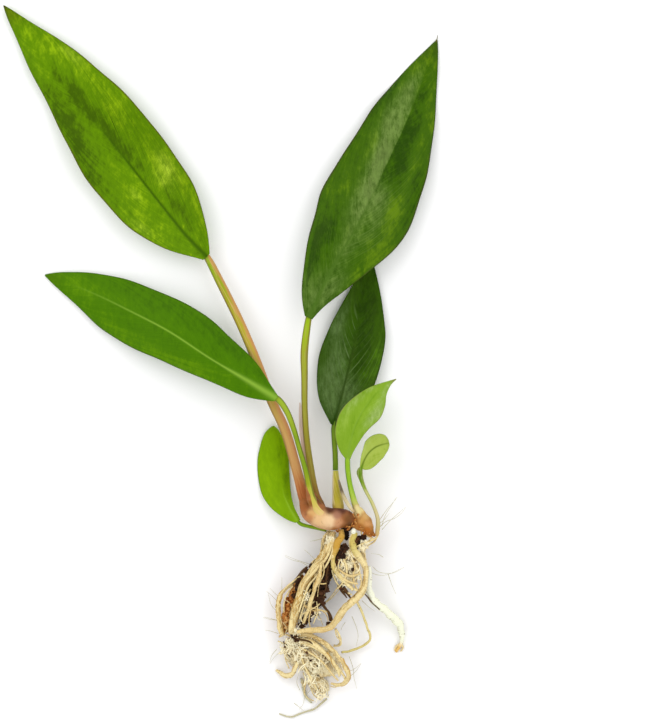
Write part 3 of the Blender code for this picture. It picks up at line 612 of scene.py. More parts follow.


# %% [markdown]
# ## Colours of the leaves
# No two leaves of a plant share one green: old blades are dark and waxy, and young ones are pale and
# yellowish. A painted picture could hold all that, but it would be stretched over a leaf that gets a new
# shape. So each blade has three greens, and soft oval patches that are placed by its own two
# coordinates say where it is lighter, waxy or veined. The lighter and darker patches are partly painted
# highlights and painted shade, and the waxy ones are partly painted sheen. Noise breaks the patches up.

# %% Colours of the blades
# Upper face: deep, main and light greens, the pale waxy green that is also the leaf's painted sheen, its
# midrib, its rim, and the under side. Gloss is its roughness. Fine is how far apart the fine side veins
# are, vein how strong they are (below zero they are pale), and net how strong the net between them is.
# Tip is how brown the tip is, and blotch how much the broad mottling changes the green.
# A patch is: share along, share of the half-width (left is positive), its reach along and across, its
# strength, and for some the one side it keeps to. The light patches brighten the green or, below zero,
# deepen it, and are partly painted highlights and painted shade. The wax patches take the pale waxy
# green, a bloom that is partly painted sheen, and the veins show where the veined patches are
LEAF_LOOKS = {
    "upper_left": {
        "deep": (55, 86, 0), "main": (88, 130, 0), "light": (141, 177, 13), "wax": (156, 184, 47),
        "midrib": (43, 79, 0), "rim": (79, 73, 9), "under": (120, 154, 66), "gloss": 0.4, "fine": 1.7,
        "vein": 1.1, "net": 0.12, "tip": 0.55, "blotch": 0.8,
        "patches": named_tables("""
            light: 0.88 -0.1 0.12 0.8 0.5, 0.75 -0.75 0.1 0.3 0.3, 0.6 -0.75 0.1 0.3 0.25,
            0.53 -0.6 0.06 0.3 0.25, 0.28 -0.45 0.09 0.25 0.7, 0.3 -0.75 0.08 0.2 0.5,
            0.15 -0.85 0.1 0.15 0.7, 0.29 0.4 0.1 0.35 0.3, 0.18 0.75 0.1 0.3 0.3, 0.48 0.25 0.08 0.25 0.15,
            0.6 -0.05 0.2 0.2 -0.8, 0.61 0.75 0.12 0.4 -0.8, 0.5 0.6 0.12 0.4 -0.4,
            0.43 -0.12 0.12 0.18 -0.6 -1, 0.19 -0.35 0.12 0.16 -0.8 -1, 0.39 0.85 0.12 0.2 -0.5,
            0.68 -0.2 0.08 0.15 -0.4;
            wax: 0.3 -0.7 0.06 0.2 0.7, 0.27 -0.42 0.05 0.2 0.45, 0.75 -0.8 0.06 0.2 0.45,
            0.29 0.34 0.03 0.12 0.45, 0.2 0.81 0.05 0.15 0.5;
            veined: 0.26 -0.5 0.22 0.6 1 -1, 0.52 -0.35 0.12 0.4 0.8 -1, 0.35 0.5 0.22 0.4 0.3 1,
            0.68 0.1 0.1 0.3 0.5"""),
    },
    "upper_right": {
        "deep": (21, 58, 0), "main": (49, 88, 0), "light": (86, 120, 6), "wax": (94, 118, 56),
        "midrib": (66, 100, 28), "rim": (53, 58, 15), "under": (90, 122, 66), "gloss": 0.38, "fine": 2.2,
        "vein": -0.45, "net": 0.5, "tip": 0.35, "blotch": 1.2,
        "patches": named_tables("""
            light: 0.64 -0.12 0.17 0.42 -1.1 -1, 0.5 -0.85 0.1 0.2 -0.5, 0.44 -0.95 0.08 0.15 -0.4,
            0.2 0.75 0.14 0.25 -0.8, 0.33 0.52 0.1 0.2 -0.6, 0.7 0.97 0.18 0.12 -0.8,
            0.52 0.7 0.08 0.12 -0.5, 0.93 0.2 0.08 0.7 0.5, 0.81 -0.7 0.12 0.35 0.4, 0.45 0.6 0.1 0.3 0.5,
            0.3 -0.8 0.12 0.35 0.7, 0.44 -0.55 0.05 0.25 0.8, 0.57 -0.62 0.12 0.1 0.6,
            0.6 0.5 0.06 0.15 0.6;
            wax: 0.86 0.25 0.05 0.25 0.3 1, 0.76 0.4 0.12 0.4 0.62 1, 0.65 0.2 0.12 0.3 0.8 1,
            0.53 0.1 0.1 0.26 0.8 1, 0.42 0.12 0.09 0.26 0.75, 0.44 -0.22 0.05 0.2 0.6,
            0.26 -0.05 0.1 0.35 0.5, 0.06 0.1 0.09 1.2 0.75, 0.36 -0.35 0.05 0.15 0.4,
            0.13 -0.5 0.07 0.4 0.4;
            veined: 0.4 -0.3 0.12 0.4 1 -1, 0.3 -0.5 0.08 0.3 0.7 -1, 0.6 0.3 0.25 0.3 0.5 1,
            0.55 -0.6 0.12 0.2 0.8 -1, 0.22 0.5 0.15 0.6 0.4"""),
    },
    "middle_left": {
        "deep": (47, 92, 0), "main": (64, 112, 0), "light": (88, 133, 2), "wax": (122, 160, 66),
        "midrib": (132, 171, 56), "rim": (58, 81, 6), "under": (113, 149, 71), "gloss": 0.42, "fine": 1.6,
        "vein": 0.6, "net": 0.15, "tip": 0.3, "blotch": 0.5,
        "patches": named_tables("""
            light: 0.5 -0.6 0.3 0.4 -0.45, 0.2 -0.8 0.15 0.4 -0.7, 0.69 0.3 0.08 0.3 -0.4,
            0.48 0.35 0.1 0.3 -0.3, 0.8 0.15 0.12 0.5 0.5, 0.9 0 0.08 0.9 0.3, 0.65 0.75 0.1 0.3 0.6,
            0.4 0.8 0.15 0.3 0.6, 0.25 0.6 0.12 0.4 0.4;
            wax: 0.8 0.1 0.1 0.3 0.12;
            veined: 0.45 0.45 0.3 0.5 0.9 1, 0.5 -0.4 0.3 0.5 0.2 -1"""),
    },
    "back_right": {
        "deep": (19, 51, 0), "main": (38, 73, 0), "light": (68, 110, 6), "wax": (78, 102, 56),
        "midrib": (32, 60, 9), "rim": (43, 60, 13), "under": (85, 113, 62), "gloss": 0.36, "fine": 4.6,
        "vein": -1.2, "net": 0.6, "tip": 0.2, "blotch": 0.9,
        "patches": named_tables("""
            light: 0.56 -0.25 0.18 0.4 -1, 0.76 -0.2 0.12 0.7 -0.5, 0.5 0.45 0.05 0.14 -0.6,
            0.28 -0.1 0.08 0.2 -0.5, 0.48 -0.82 0.12 0.16 0.45, 0.35 -0.8 0.08 0.2 0.35,
            0.7 0.4 0.06 0.3 0.3;
            wax: 0.56 0.75 0.14 0.3 0.7, 0.4 0.35 0.12 0.35 0.6, 0.23 0.6 0.12 0.5 0.75, 0.09 0 0.1 1.2 0.8,
            0.24 -0.2 0.09 0.4 0.7, 0.68 0.8 0.08 0.3 0.3;
            veined: 0.3 0.1 0.22 0.8 1, 0.5 0.2 0.2 0.25 1 1, 0.4 -0.7 0.12 0.4 0.6 -1"""),
    },
    "front_right": {
        "deep": (102, 141, 23), "main": (122, 158, 39), "light": (141, 173, 60), "wax": (150, 171, 105),
        "midrib": (120, 156, 47), "rim": (126, 118, 73), "under": (141, 167, 94), "gloss": 0.42,
        "fine": 1.8, "vein": 0.35, "net": 0.25, "tip": 0.8, "blotch": 0.8,
        "patches": named_tables("""
            light: 0.33 0.75 0.18 0.35 0.35, 0.3 0.2 0.2 0.2 -0.35 1, 0.5 -0.06 0.3 0.07 -0.8 -1,
            0.6 0.3 0.25 0.5 0.3;
            wax: 0.62 0.75 0.25 0.35 0.55, 0.85 -0.5 0.12 0.6 0.4, 0.55 -0.7 0.25 0.4 0.65,
            0.96 0 0.08 1.2 0.3;
            veined: 0.4 0.4 0.3 0.5 1 1, 0.4 -0.4 0.3 0.4 0.5 -1"""),
    },
    "small_left": {
        "deep": (86, 124, 0), "main": (115, 156, 0), "light": (132, 173, 4), "wax": (150, 180, 66),
        "midrib": (132, 173, 38), "rim": (85, 113, 6), "under": (132, 160, 56), "gloss": 0.42, "fine": 1.6,
        "vein": 0.35, "net": 0.12, "tip": 0.2, "blotch": 0.6,
        "patches": {
            "light": table("0.56 -0.6 0.35 0.5 -0.6, 0.58 0.65 0.35 0.35 0.5, 0.26 0.56 0.12 0.35 0.3"),
            "wax": [],
            "veined": table("0.5 0 0.4 1 0.5"),
        },
    },
    "small_right": {
        "deep": (135, 158, 51), "main": (158, 177, 75), "light": (169, 186, 92), "wax": (184, 194, 137),
        "midrib": (83, 107, 21), "rim": (73, 88, 32), "under": (150, 169, 103), "gloss": 0.44, "fine": 1.8,
        "vein": 0.3, "net": 0.3, "tip": 0.2, "blotch": 0.8,
        "patches": named_tables("""
            light: 0.5 0.6 0.4 0.4 0.2, 0.5 -0.6 0.3 0.4 -0.3, 0.1 -0.4 0.2 0.6 -0.4;
            wax: 0.5 0.8 0.3 0.3 0.3;
            veined: 0.4 0 0.4 1 0.5"""),
    },
}


# %% Leaf finish
LEAF_SHINE = (0.8, 1.0, 0.2, 1.0)


def leaf_finish(name, looks):
    """Greens mixed by the patches and mottled, streaks and fine veins, a net, a waxy bloom that is partly
    painted sheen, and a thin rim.

    The tone is half plus half the light patches plus each noise's distance from its mean, times a
    given strength. It picks a green between deep, main and light. A vein shows where the
    distance along, counted in veins, is nearest to half way between whole numbers.
    """
    material, base = new_finish(name)
    veins = base.attribute("veins", 1)
    off, across, upper = base.attribute("off"), abs(base.attribute("across")), base.attribute("upper")
    light, wax, rib = base.attribute("light"), base.attribute("wax"), base.attribute("rib")
    veined = base.attribute("veined")
    phase = veins.first()
    streak = veins.stretched((1.6, 0.16, 1)).noise(1.0, 4.0)
    place = base.place()
    mottle = place.stretched((1, 0.45, 1)).noise(560.0, 6.0, 0.72)
    cloud = veins.stretched((0.12, 0.12, 1)).noise(1.0, 2.0)
    blotch = place.stretched((1, 0.6, 1)).noise(180.0, 4.0, 0.6)
    # The light patches in the tone are partly painted highlights and painted shade.
    tone = light * 0.5 + 0.5 + (streak - 0.5) * 0.7 + (mottle - 0.5) * 1.3 + (cloud - 0.5) * 0.8
    tone = tone + (blotch - 0.5) * looks["blotch"]
    dim = tone.smooth(-0.1, 0.5).mix(looks["deep"], looks["main"])
    green = tone.smooth(0.5, 1.1).mix(dim, looks["light"])
    broken = (mottle - 0.5) * 2.4 + (blotch - 0.5) * 1.5 + (streak - 0.5) * 1.4
    # The bloom is partly a real waxy bloom and partly painted sheen, laid where the wax patches are.
    bloom_and_sheen = (wax * (1.0 + broken)).smooth(0.05, 1.3)
    wax_sheen_mottle = (mottle * 1.7 + cloud * 0.6 - 0.65).smooth(0.1, 0.9)
    pale = wax_sheen_mottle.mix(0.84 * np.array(looks["wax"]), 1.14 * np.array(looks["wax"]))
    green = bloom_and_sheen.mix(green, pale)
    jitter = veins.stretched((0.3, 0.1, 1)).noise(1.0, 1.0)
    turns = phase / looks["fine"] + jitter * (4.0 / looks["fine"])
    beat = abs(turns.sum("FRACT", turns) - 0.5)
    narrow = 0.4 / looks["fine"]
    vein = beat.smooth(narrow, 0.0) * (streak.smooth(0.35, 0.55) * 0.8 + 0.2)
    vein = vein * off.smooth(0.3, 1.2) * veined * abs(looks["vein"])
    green = vein.mix(green, looks["deep" if looks["vein"] > 0 else "wax"])
    net = veins.stretched((0.85, 0.6, 1)).edges(1.0).smooth(0.07, 0.0) * looks["net"] * (bloom_and_sheen * 0.8 + 0.2)
    green = net.mix(green, looks["wax" if looks["vein"] < 0 else "light"])
    green = (rib * 0.85).mix(green, looks["midrib"])
    green = ((across + (mottle - 0.5) * 0.06).smooth(0.95, 0.99) * 0.75).mix(green, looks["rim"])
    green = (base.attribute("along").smooth(0.9, 1.0) * looks["tip"]).mix(green, looks["rim"])
    under = streak.smooth(0.2, 0.8).mix(looks["main"], looks["under"])
    colour = upper.mix(under, green)
    roughness = looks["gloss"] + (cloud - 0.5) * 0.2 + (streak - 0.5) * 0.15 + (1.0 - upper) * 0.15
    height = streak * 0.5 + mottle * 0.7 - vein * 0.4 + net * 0.3
    return close_finish(material, base, colour, roughness, height, 0.14, 0.2, LEAF_SHINE)


def membrane_finish(name, stops, edge):
    """A papery scale: colours along it, and fine paler nerves from base to tip."""
    material, base = new_finish(name)
    along, across = base.attribute("along"), base.attribute("across")
    nerves = base.node("CombineXYZ", (), {0: along * 2.0, 1: across * 5.0}).noise(1.4, 3.0)
    colour = (along + (nerves - 0.5) * 0.3).ramp(*stops)
    colour = ((nerves - 0.45).smooth(0.0, 0.25) * 0.45).mix(colour, edge)
    return close_finish(material, base, colour, 0.5, nerves, 0.15, 0.3)


print("finishes for blades and scales ready")


# %% Make the blades
for number, (leaf, shape) in enumerate(BLADES.items()):
    looks = LEAF_LOOKS[leaf]
    rings, attributes = blade_rings(shape, number * 10)
    for label, patches in looks["patches"].items():
        attributes[label] = patch_sum(patches, attributes["along"], attributes["across"])
    finish = leaf_finish("leaf_" + leaf, looks)
    mesh = ring_mesh("blade_" + leaf, rings, attributes)
    made = add_piece("leaf_blade_" + leaf, mesh, finish, ("blade_" + leaf,))
    print(made.name, len(mesh.polygons), "faces")

# A thin scale's colours from base to tip, and that of its paler nerves
MEMBRANE_LOOKS = {
    "sheath_upper_right": (table("0 233 214 203, 0.5 226 196 175, 1 184 133 90"), (237, 226, 218)),
    "scale_leaf": (
        table("0 113 98 66, 0.3 79 62 41, 0.45 175 158 113, 0.8 209 196 150, 1 184 150 98"),
        (222, 212, 179),
    ),
}
for number, (scale, shape) in enumerate(MEMBRANES.items()):
    sheet = {**PLAIN_SHEET, "midrib": shape["midrib"], "left": shape["half"], "right": shape["half"],
             "rise": shape["rise"]}
    rings, attributes = blade_rings(sheet, 90 + number * 10)
    finish = membrane_finish("membrane_" + scale, *MEMBRANE_LOOKS[scale])
    mesh = ring_mesh("thin_" + scale, rings, attributes)
    made = add_piece("thin_" + scale, mesh, finish, (scale,))
    print(made.name, len(mesh.polygons), "faces")

# %% [markdown]
# ## Stalks
# A petiole is round below and slightly channelled on its upper side, where the leaf's halves were
# folded together in the bud. Its colour runs from the blade's green to the stem's brown, and its edges
# are darker than its back. A Blender curve with a bevel would give a plain tube. Rings worked out from
# the route can be grooved and swollen, and they carry the colour's two coordinates.


# %% Tubes
GROOVE_WIDTH = 0.5
# Noise is read this many units further on for each tube of a bundle, so that no two are alike
NOISE_SHIFT = 11.0
# How high over the table the lowest point of a skin stays, in millimetres
LOWEST = 0.05


def tube_rings(routes, points, uneven, pitch, groove, seed):
    """(rings, attributes) of tubes round routes shaped (tubes, rings, 4) of x, y, z, radius.

    A point at the angle a is the route's point plus radius times (left cos a + up sin a). The radius
    is changed by a random unevenness, and lessened round the top by a bell-shaped groove.
    """
    routes = np.asarray(routes, float)
    routes = routes[None] if routes.ndim == 2 else routes
    _, left, up = sides_of(routes)
    angle = TURN * (np.arange(points) / points - 0.25)
    step = np.linalg.norm(np.diff(routes[..., :3], axis=1, prepend=routes[:, :1, :3]), axis=-1)
    travelled = np.cumsum(step, axis=1)[..., None]
    which = NOISE_SHIFT * np.arange(len(routes))[:, None, None]
    bumps = ripple(seed, travelled / pitch + which, 1.5 * np.cos(angle), 1.5 * np.sin(angle))
    dent = groove * np.exp(-(((angle - TURN / 4) / GROOVE_WIDTH) ** 2))
    radius = routes[..., 3:4] * (1 + uneven * bumps - dent)
    offset = left[..., None, :] * np.cos(angle)[:, None] + up[..., None, :] * np.sin(angle)[:, None]
    rings = routes[..., None, :3] + offset * radius[..., None]
    rings[..., 2] = np.maximum(rings[..., 2], LOWEST)
    whole = travelled[:, -1:] + 1e-9
    attributes = {
        "along": travelled / whole + 0 * bumps,
        "side": np.cos(angle) + 0 * bumps,
        "top": np.sin(angle) + 0 * bumps,
        "skin": np.stack([travelled + 0 * bumps, angle * radius, which + seed + 0 * bumps], -1),
    }
    return rings, attributes


print("tubes stay", LOWEST, "mm over the table")


# %% Stalk routes
# From inside the blade down to the stem: x, y, height of the middle, radius. The colours run along it.
# East and west are the colours of its two edges, to the right and the left in the top view. Stripe is the
# colour of its streaks. From: where east starts (0 is the middle) and is full, and the streaks' share.
# Groove is the depth of the groove on top, as a share of the radius
STALKS = {
    "petiole_upper_left": {
        "route": table("""
            -12 50.1 3.8 0.4, -8.2 46.1 4.4 0.9, -5.1 42.6 5.5 1.5, -0.4 33.6 7.2 1.8, 8 16.8 8 1.9,
            15.1 0 8.4 2, 21.6 -16.8 8.6 2, 27.3 -29.4 8.8 2.1, 32.3 -46.2 9.2 2.1, 35.5 -58.65 10 2.3,
            37.5 -62.5 10.6 1.8"""),
        "colours": table("""
            0 98 141 4, 0.1 124 158 4, 0.25 150 154 24, 0.42 184 165 58, 0.58 180 152 66, 0.7 190 148 84,
            0.84 190 142 88, 0.93 165 94 50, 1 141 73 34"""),
        "west": (109, 79, 21), "east": (194, 130, 84), "stripe": (196, 158, 98), "from": (0.0, 0.7, 0.8),
        "groove": 0.1,
    },
    "petiole_upper_right": {
        "route": table("""
            40.6 24.8 10.2 0.4, 38.6 20.4 10.6 0.8, 37.15 16.9 11.1 1.35, 35.5 4.2 12 1.6, 35.5 -8 11.8 1.4,
            35.6 -20 11.6 1.3, 36.5 -33.6 11.4 1.3, 38.6 -48 11.2 1.4, 40.2 -56.2 11.4 1.7,
            42.5 -60.5 12 1.5, 43.8 -63.4 10.8 1.2"""),
        "colours": table("""
            0 113 150 4, 0.12 141 173 6, 0.25 147 158 32, 0.45 141 143 45, 0.65 141 132 38, 0.82 139 117 45,
            0.93 130 90 45, 1 105 60 45"""),
        "west": (105, 79, 28), "east": (126, 115, 41), "stripe": (165, 160, 79), "from": (0.3, 0.6, 0.5),
        "groove": 0.12,
    },
    "petiole_middle_left": {
        "route": table("""
            14.5 -10.4 15 0.35, 19.5 -13.4 15.2 0.9, 24.6 -16.6 15.3 1.35, 28.4 -22 15.4 1.25,
            31.2 -29.4 15.8 1.1, 33.6 -37.8 16 1.05, 36 -46.2 16.2 1.15, 38 -55.2 16.5 1.4,
            39.5 -59.4 16.6 1.6, 41.2 -62.8 16.3 2, 42.9 -65.4 15.4 2.7, 44 -66.8 14.8 3,
            45.6 -68.6 13.4 2.8"""),
        "colours": table("""
            0 103 150 9, 0.15 141 169 38, 0.3 141 162 38, 0.45 109 141 17, 0.62 113 143 15, 0.71 141 152 28,
            0.78 184 177 70, 0.84 196 176 84, 0.9 214 184 118, 1 222 184 135"""),
        "west": (86, 79, 19), "east": (85, 90, 9), "stripe": (150, 167, 47), "from": (0.45, 0.75, 0.6),
        "groove": 0.06,
    },
    "petiole_back_right": {
        "route": table("""
            49.4 -21.3 5.4 0.3, 48.6 -24.4 6.1 0.7, 47.8 -28.1 6.9 1.1, 48 -34 8 1.1, 48.4 -40 8.4 1.15,
            48.5 -46.2 8.8 1.15"""),
        "colours": table("0 47 85 19, 0.3 86 120 15, 0.7 111 137 24, 1 79 111 13"),
        "west": (41, 75, 9), "east": (60, 92, 11), "stripe": (124, 150, 47), "from": (0.5, 0.95, 0.5),
        "groove": 0.1,
    },
    "petiole_front_right": {
        "route": table("""
            54.5 -36 14.6 0.3, 54 -39 14.1 0.75, 53.5 -41.8 13.6 1.1, 53.7 -46.8 13.6 1.1,
            54.6 -52.6 13.4 1.1, 56.2 -58.8 13.4 1.3, 57.2 -61.6 13.5 1.5"""),
        "colours": table("0 132 175 38, 0.3 128 169 28, 0.65 132 173 38, 0.85 160 184 66, 1 194 177 109"),
        "west": (71, 113, 9), "east": (103, 147, 23), "stripe": (169, 194, 85), "from": (0.5, 0.95, 0.6),
        "groove": 0.08,
    },
    "petiole_small_left": {
        "route": table("""
            30.6 -64.2 6.7 0.3, 32 -66.4 7.7 0.6, 33.6 -68.5 8 0.8, 36.4 -69.5 8 0.75, 40.2 -70.3 8.4 0.75,
            44.6 -71.2 9.9 0.8"""),
        "colours": table("0 105 150 6, 0.5 117 156 23, 1 124 141 38"),
        "west": (79, 117, 9), "east": (90, 128, 15), "stripe": (141, 173, 38), "from": (0.5, 0.95, 0.4),
        "groove": 0.05,
    },
    "petiole_small_right": {
        "route": table("""
            60.3 -42.9 13.1 0.3, 59.4 -44.8 12.9 0.7, 58.6 -46.9 12.6 1.3, 59.3 -50 12.4 0.95,
            61 -54.4 12.4 0.75, 64 -60.2 12.4 0.75, 66.1 -66 12.2 0.85, 66.2 -70.6 12 0.95,
            65.6 -73.4 11.4 0.7"""),
        "colours": table("""
            0 90 128 15, 0.2 86 126 6, 0.35 120 150 28, 0.5 169 179 94, 0.7 194 184 133, 0.88 188 175 122,
            1 201 160 103"""),
        "west": (141, 141, 75), "east": (179, 169, 122), "stripe": (212, 194, 150),
        "from": (0.5, 0.95, 0.6), "groove": 0.05,
    },
    "sheath_back_right": {
        "route": table("""
            48.5 -46.4 8.9 1.2, 48.7 -51 9.4 1.6, 49.1 -56 10.4 2, 49.5 -60.4 11.6 2.5,
            49.9 -63.6 12.4 2.2"""),
        "colours": table("0 169 165 60, 0.3 162 149 38, 0.75 167 152 45, 1 179 150 71"),
        "west": (222, 207, 169), "east": (194, 175, 105), "stripe": (207, 184, 103),
        "from": (0.2, 0.9, 0.6), "groove": 0.0, "slot": "sheath",
    },
}


print(len(STALKS), "stalks and sheaths")

# %% Stalk finish
# The two largest blades end in a dry hook (x, y, height, radius), which takes a stalk's finish
HOOKS = tables("""
90.6 133.4 1 0.3, 91.1 134.6 0.9 0.2, 91.4 136.4 0.9 0.1; -90 147.8 1.9 0.3, -90.6 148.5 1.9 0.2,
-90.9 148.9 1.9 0.12""")
HOOK_LOOK = {
    "colours": table("0 90 86 19, 1 66 56 23"),
    "west": (66, 62, 19), "east": (90, 79, 28), "stripe": (103, 98, 38), "from": (0.5, 0.95, 0.4),
}
STALK_SHINE = (1.0, 0.95, 0.4, 1.0)


def stalk_finish(name, look):
    """Colours along the stalk, streaks that run with it, darker edges and a little shade below."""
    material, base = new_finish(name)
    along, side, top = base.attribute("along"), base.attribute("side"), base.attribute("top")
    skin = base.attribute("skin", 1)
    streak = skin.stretched((0.1, 1.6, 1)).noise(1.0, 4.0)
    speck = skin.stretched((1.6, 2.6, 1)).noise(1.0, 3.0)
    colour = (along + (streak - 0.5) * 0.22 + (speck - 0.5) * 0.05).ramp(*look["colours"])
    start, full, striped = look["from"]
    kept = 1.0 - along.smooth(0.78, 0.9)
    colour = ((streak - 0.5).smooth(0.0, 0.12) * kept * striped).mix(colour, look["stripe"])
    east = (side + (streak - 0.5) * 0.7).smooth(start, full)
    west = (side * -1.0 + (streak - 0.5) * 0.7).smooth(0.5, 0.95)
    colour = (east * kept * 0.75).mix(colour, look["east"])
    colour = (west * kept * 0.75).mix(colour, look["west"])
    shade = (0.35 - top).smooth(0.0, 1.3) * 0.45 + (speck - 0.6).smooth(0.0, 0.2) * 0.2
    colour = (shade * kept).mix(colour, look["west"])
    return close_finish(material, base, colour, 0.42, streak * 0.7 + speck * 0.3, 0.12, 0.3, STALK_SHINE)


# %% Make the stalks
for number, (stalk, look) in enumerate(STALKS.items()):
    name = "skin_" + stalk
    route = spaced_route(look["route"], 0.6, 30)
    rings, attributes = tube_rings(route, 28, 0.03, 7.0, look["groove"], number)
    mesh = ring_mesh(name, rings, attributes)
    made = add_piece(name, mesh, stalk_finish(name, look), (stalk,))
    print(made.name, len(mesh.polygons), "faces")
rings, attributes = tube_rings(np.stack([smooth_route(route, 16) for route in HOOKS]), 8, 0.0, 7.0, 0.0, 30)
mesh = ring_mesh("leaf_tip_hooks", rings, attributes)
add_piece("leaf_tip_hooks", mesh, stalk_finish("leaf_tip_hooks", HOOK_LOOK))

# %% [markdown]
# ## The creeping stem
# The rhizome is a short thick stem wrapped in the bases of its leaves. Three tubes overlap here, and a
# Remesh modifier joins them into one skin, which a Smooth modifier then rounds. A Boolean would leave
# sharp seams, while a real leaf base grows out of the stem without one. The new mesh has lost what its
# points carried, so its colours are soft spots placed by Object coordinates.

# %% Stem shape
# x, y, height, radius
RHIZOME_TUBES = tables("""
34 -53 9.5 1.2, 35.4 -58.4 10 2.3, 36.4 -61.4 10.8 3, 38.2 -63.8 12 4, 42 -65.9 13.4 4.6, 46 -66.4 14 4.7,
50 -66 14 4.4, 53.4 -66.6 13.8 3.6, 55.6 -67.8 13.6 1.9; 36.4 -50 16.2 0.7, 37.75 -55.75 16.2 1.6,
38.4 -57.9 16 2, 40.6 -61.4 15.4 2.7, 43.8 -64.8 14.2 3; 39 -51 11.2 0.8, 40 -56.4 11.45 1.5,
40.7 -59.4 11.8 1.7, 42.4 -62.6 12.8 2, 46.2 -65 13.6 2.6""")
SHOOT_TUBES = tables("""
57 -60.6 13.6 1.3, 57.6 -63.2 13.6 1.7, 59 -66.4 13.4 2.5, 61 -69.6 12.8 2.6, 63 -72.2 12.2 1.6,
64.2 -73.4 12 0.8; 52.2 -65.6 13.2 1.4, 54.4 -67 13.2 2, 56.8 -68.2 13 2.2, 59.4 -69.8 12.6 2.1,
61.6 -71.4 12.2 1.4, 62.8 -72.6 12 0.8; 58.4 -61.8 13.4 0.7, 60 -64.4 13.6 1.4, 61.8 -67.2 13.2 1.7,
62.8 -69.8 12.6 1.5, 63.6 -72 12 1, 65 -73.8 11.4 0.6""")
BUD = table("56.6 -69.8 12.8 0.5, 56.4 -70.8 13.2 1.1, 56 -72 13.2 1.2, 55.8 -73 12.8 0.5")

# Spots: x, y, reach, the colour's three parts, strength. Later ones lie over earlier ones
# The mauve spot at 49, -64.8 is a painted highlight on the stem.
STEM_SPOTS = table("""
42 -66.8 5.6 218 177 128 1, 46.4 -67.4 4.4 227 192 150 1, 38.6 -63.8 2.6 209 162 102 0.9,
49.6 -68.2 2.8 194 137 98 0.9, 48 -71.4 2.2 147 85 34 0.9, 52.4 -70.4 2.6 120 70 28 0.95,
34.2 -56.8 3.6 141 73 30 1, 34.9 -61.4 3 150 81 38 0.95, 37.6 -66 2.2 184 120 71 0.7,
37.8 -60 1.8 132 79 24 0.9, 41.8 -58.6 2.6 105 58 28 1, 42.6 -62 1.8 141 83 47 0.8, 46.4 -62.2 3 80 36 28 1,
50.8 -62.2 3.8 84 38 34 1, 49 -64.8 2.4 156 105 86 0.85, 54.2 -66.4 3.2 112 64 32 1,
55.2 -63.6 2.2 103 55 32 0.9, 54.8 -69.4 2.4 86 47 21 0.95""")
SHOOT_SPOTS = table("""
57.8 -62.6 3.6 218 201 141 1, 61 -65.4 2.6 201 158 98 0.9, 59.4 -67 2 194 141 79 0.9,
62 -68.4 2.2 199 143 90 0.9, 56 -66.8 2.4 132 79 34 0.95, 58.4 -69.8 2 156 94 38 0.9,
61.6 -71.4 2.4 169 94 28 0.95, 64 -73 2 137 75 24 0.95""")


# %% Stem finish
def spotted_finish(name, ground, spots):
    """Soft spots of colour at places on the piece, broken up by two noises, on a wrinkled skin."""
    material, base = new_finish(name)
    place = base.place()
    cloud = place.noise(420.0, 4.0)
    grain = place.noise(1700.0, 3.0)
    colour = cloud.smooth(0.3, 0.7).mix(ground, 0.8 * np.array(ground))
    flat = place.stretched((1, 1, 0))
    for x, y, reach, *tint, strength in spots:
        centre = (x * MM, y * MM, 0)
        away = base.node("VectorMath", {"operation": "DISTANCE"}, {0: flat, 1: centre}, 1) / (reach * MM)
        colour = ((away + (cloud - 0.5) * 0.7).smooth(1.15, 0.25) * strength).mix(colour, tint)
    wrinkle = place.stretched((1, 0.5, 1)).noise(800.0, 5.0, 0.65)
    colour = ((wrinkle - 0.56).smooth(0.0, 0.16) * 0.35).mix(colour, 0.6 * np.array(ground))
    roughness = 0.38 + grain * 0.2
    height = wrinkle * 0.7 + grain * 0.3
    return close_finish(material, base, colour, roughness, height, 0.25, 0.35, STALK_SHINE)


# %% Make the stem
def remeshed(piece, voxel, rounds):
    """Joins a piece's overlapping tubes into one skin and rounds it."""
    join = piece.modifiers.new("one skin", "REMESH")
    join.mode = "VOXEL"
    join.voxel_size = voxel * MM
    join.use_smooth_shade = True
    round_off = piece.modifiers.new("rounded", "SMOOTH")
    round_off.factor = 0.5
    round_off.iterations = rounds


def skinned(name, tubes, uneven, pitch, seed, finish, node, voxel, rounds):
    """One of the two stems: its tubes, joined, rounded and dressed."""
    rings, _ = tube_rings(np.stack([smooth_route(route, 60) for route in tubes]), 40, uneven, pitch, 0, seed)
    remeshed(add_piece(name, ring_mesh(name, rings), finish, (node,)), voxel, rounds)


stem_finish = spotted_finish("rhizome_skin", (176, 108, 66), STEM_SPOTS)
skinned("stem_skin", RHIZOME_TUBES, 0.05, 2.6, 40, stem_finish, "rhizome", 0.22, 6)
shoot_finish = spotted_finish("shoot_skin", (180, 120, 58), SHOOT_SPOTS)
skinned("side_shoot_skin", SHOOT_TUBES, 0.12, 0.9, 44, shoot_finish, "side_shoot", 0.2, 2)
print("stem and side shoot made")

# %% [markdown]
# ## Roots
# The thick roots are uneven tubes, cream where they are clean and golden where they are old. The model
# has each of them, and here they get their knots and wrinkles. A random unevenness of the radius does
# most of it, because no two lengths of a root are equally thick.

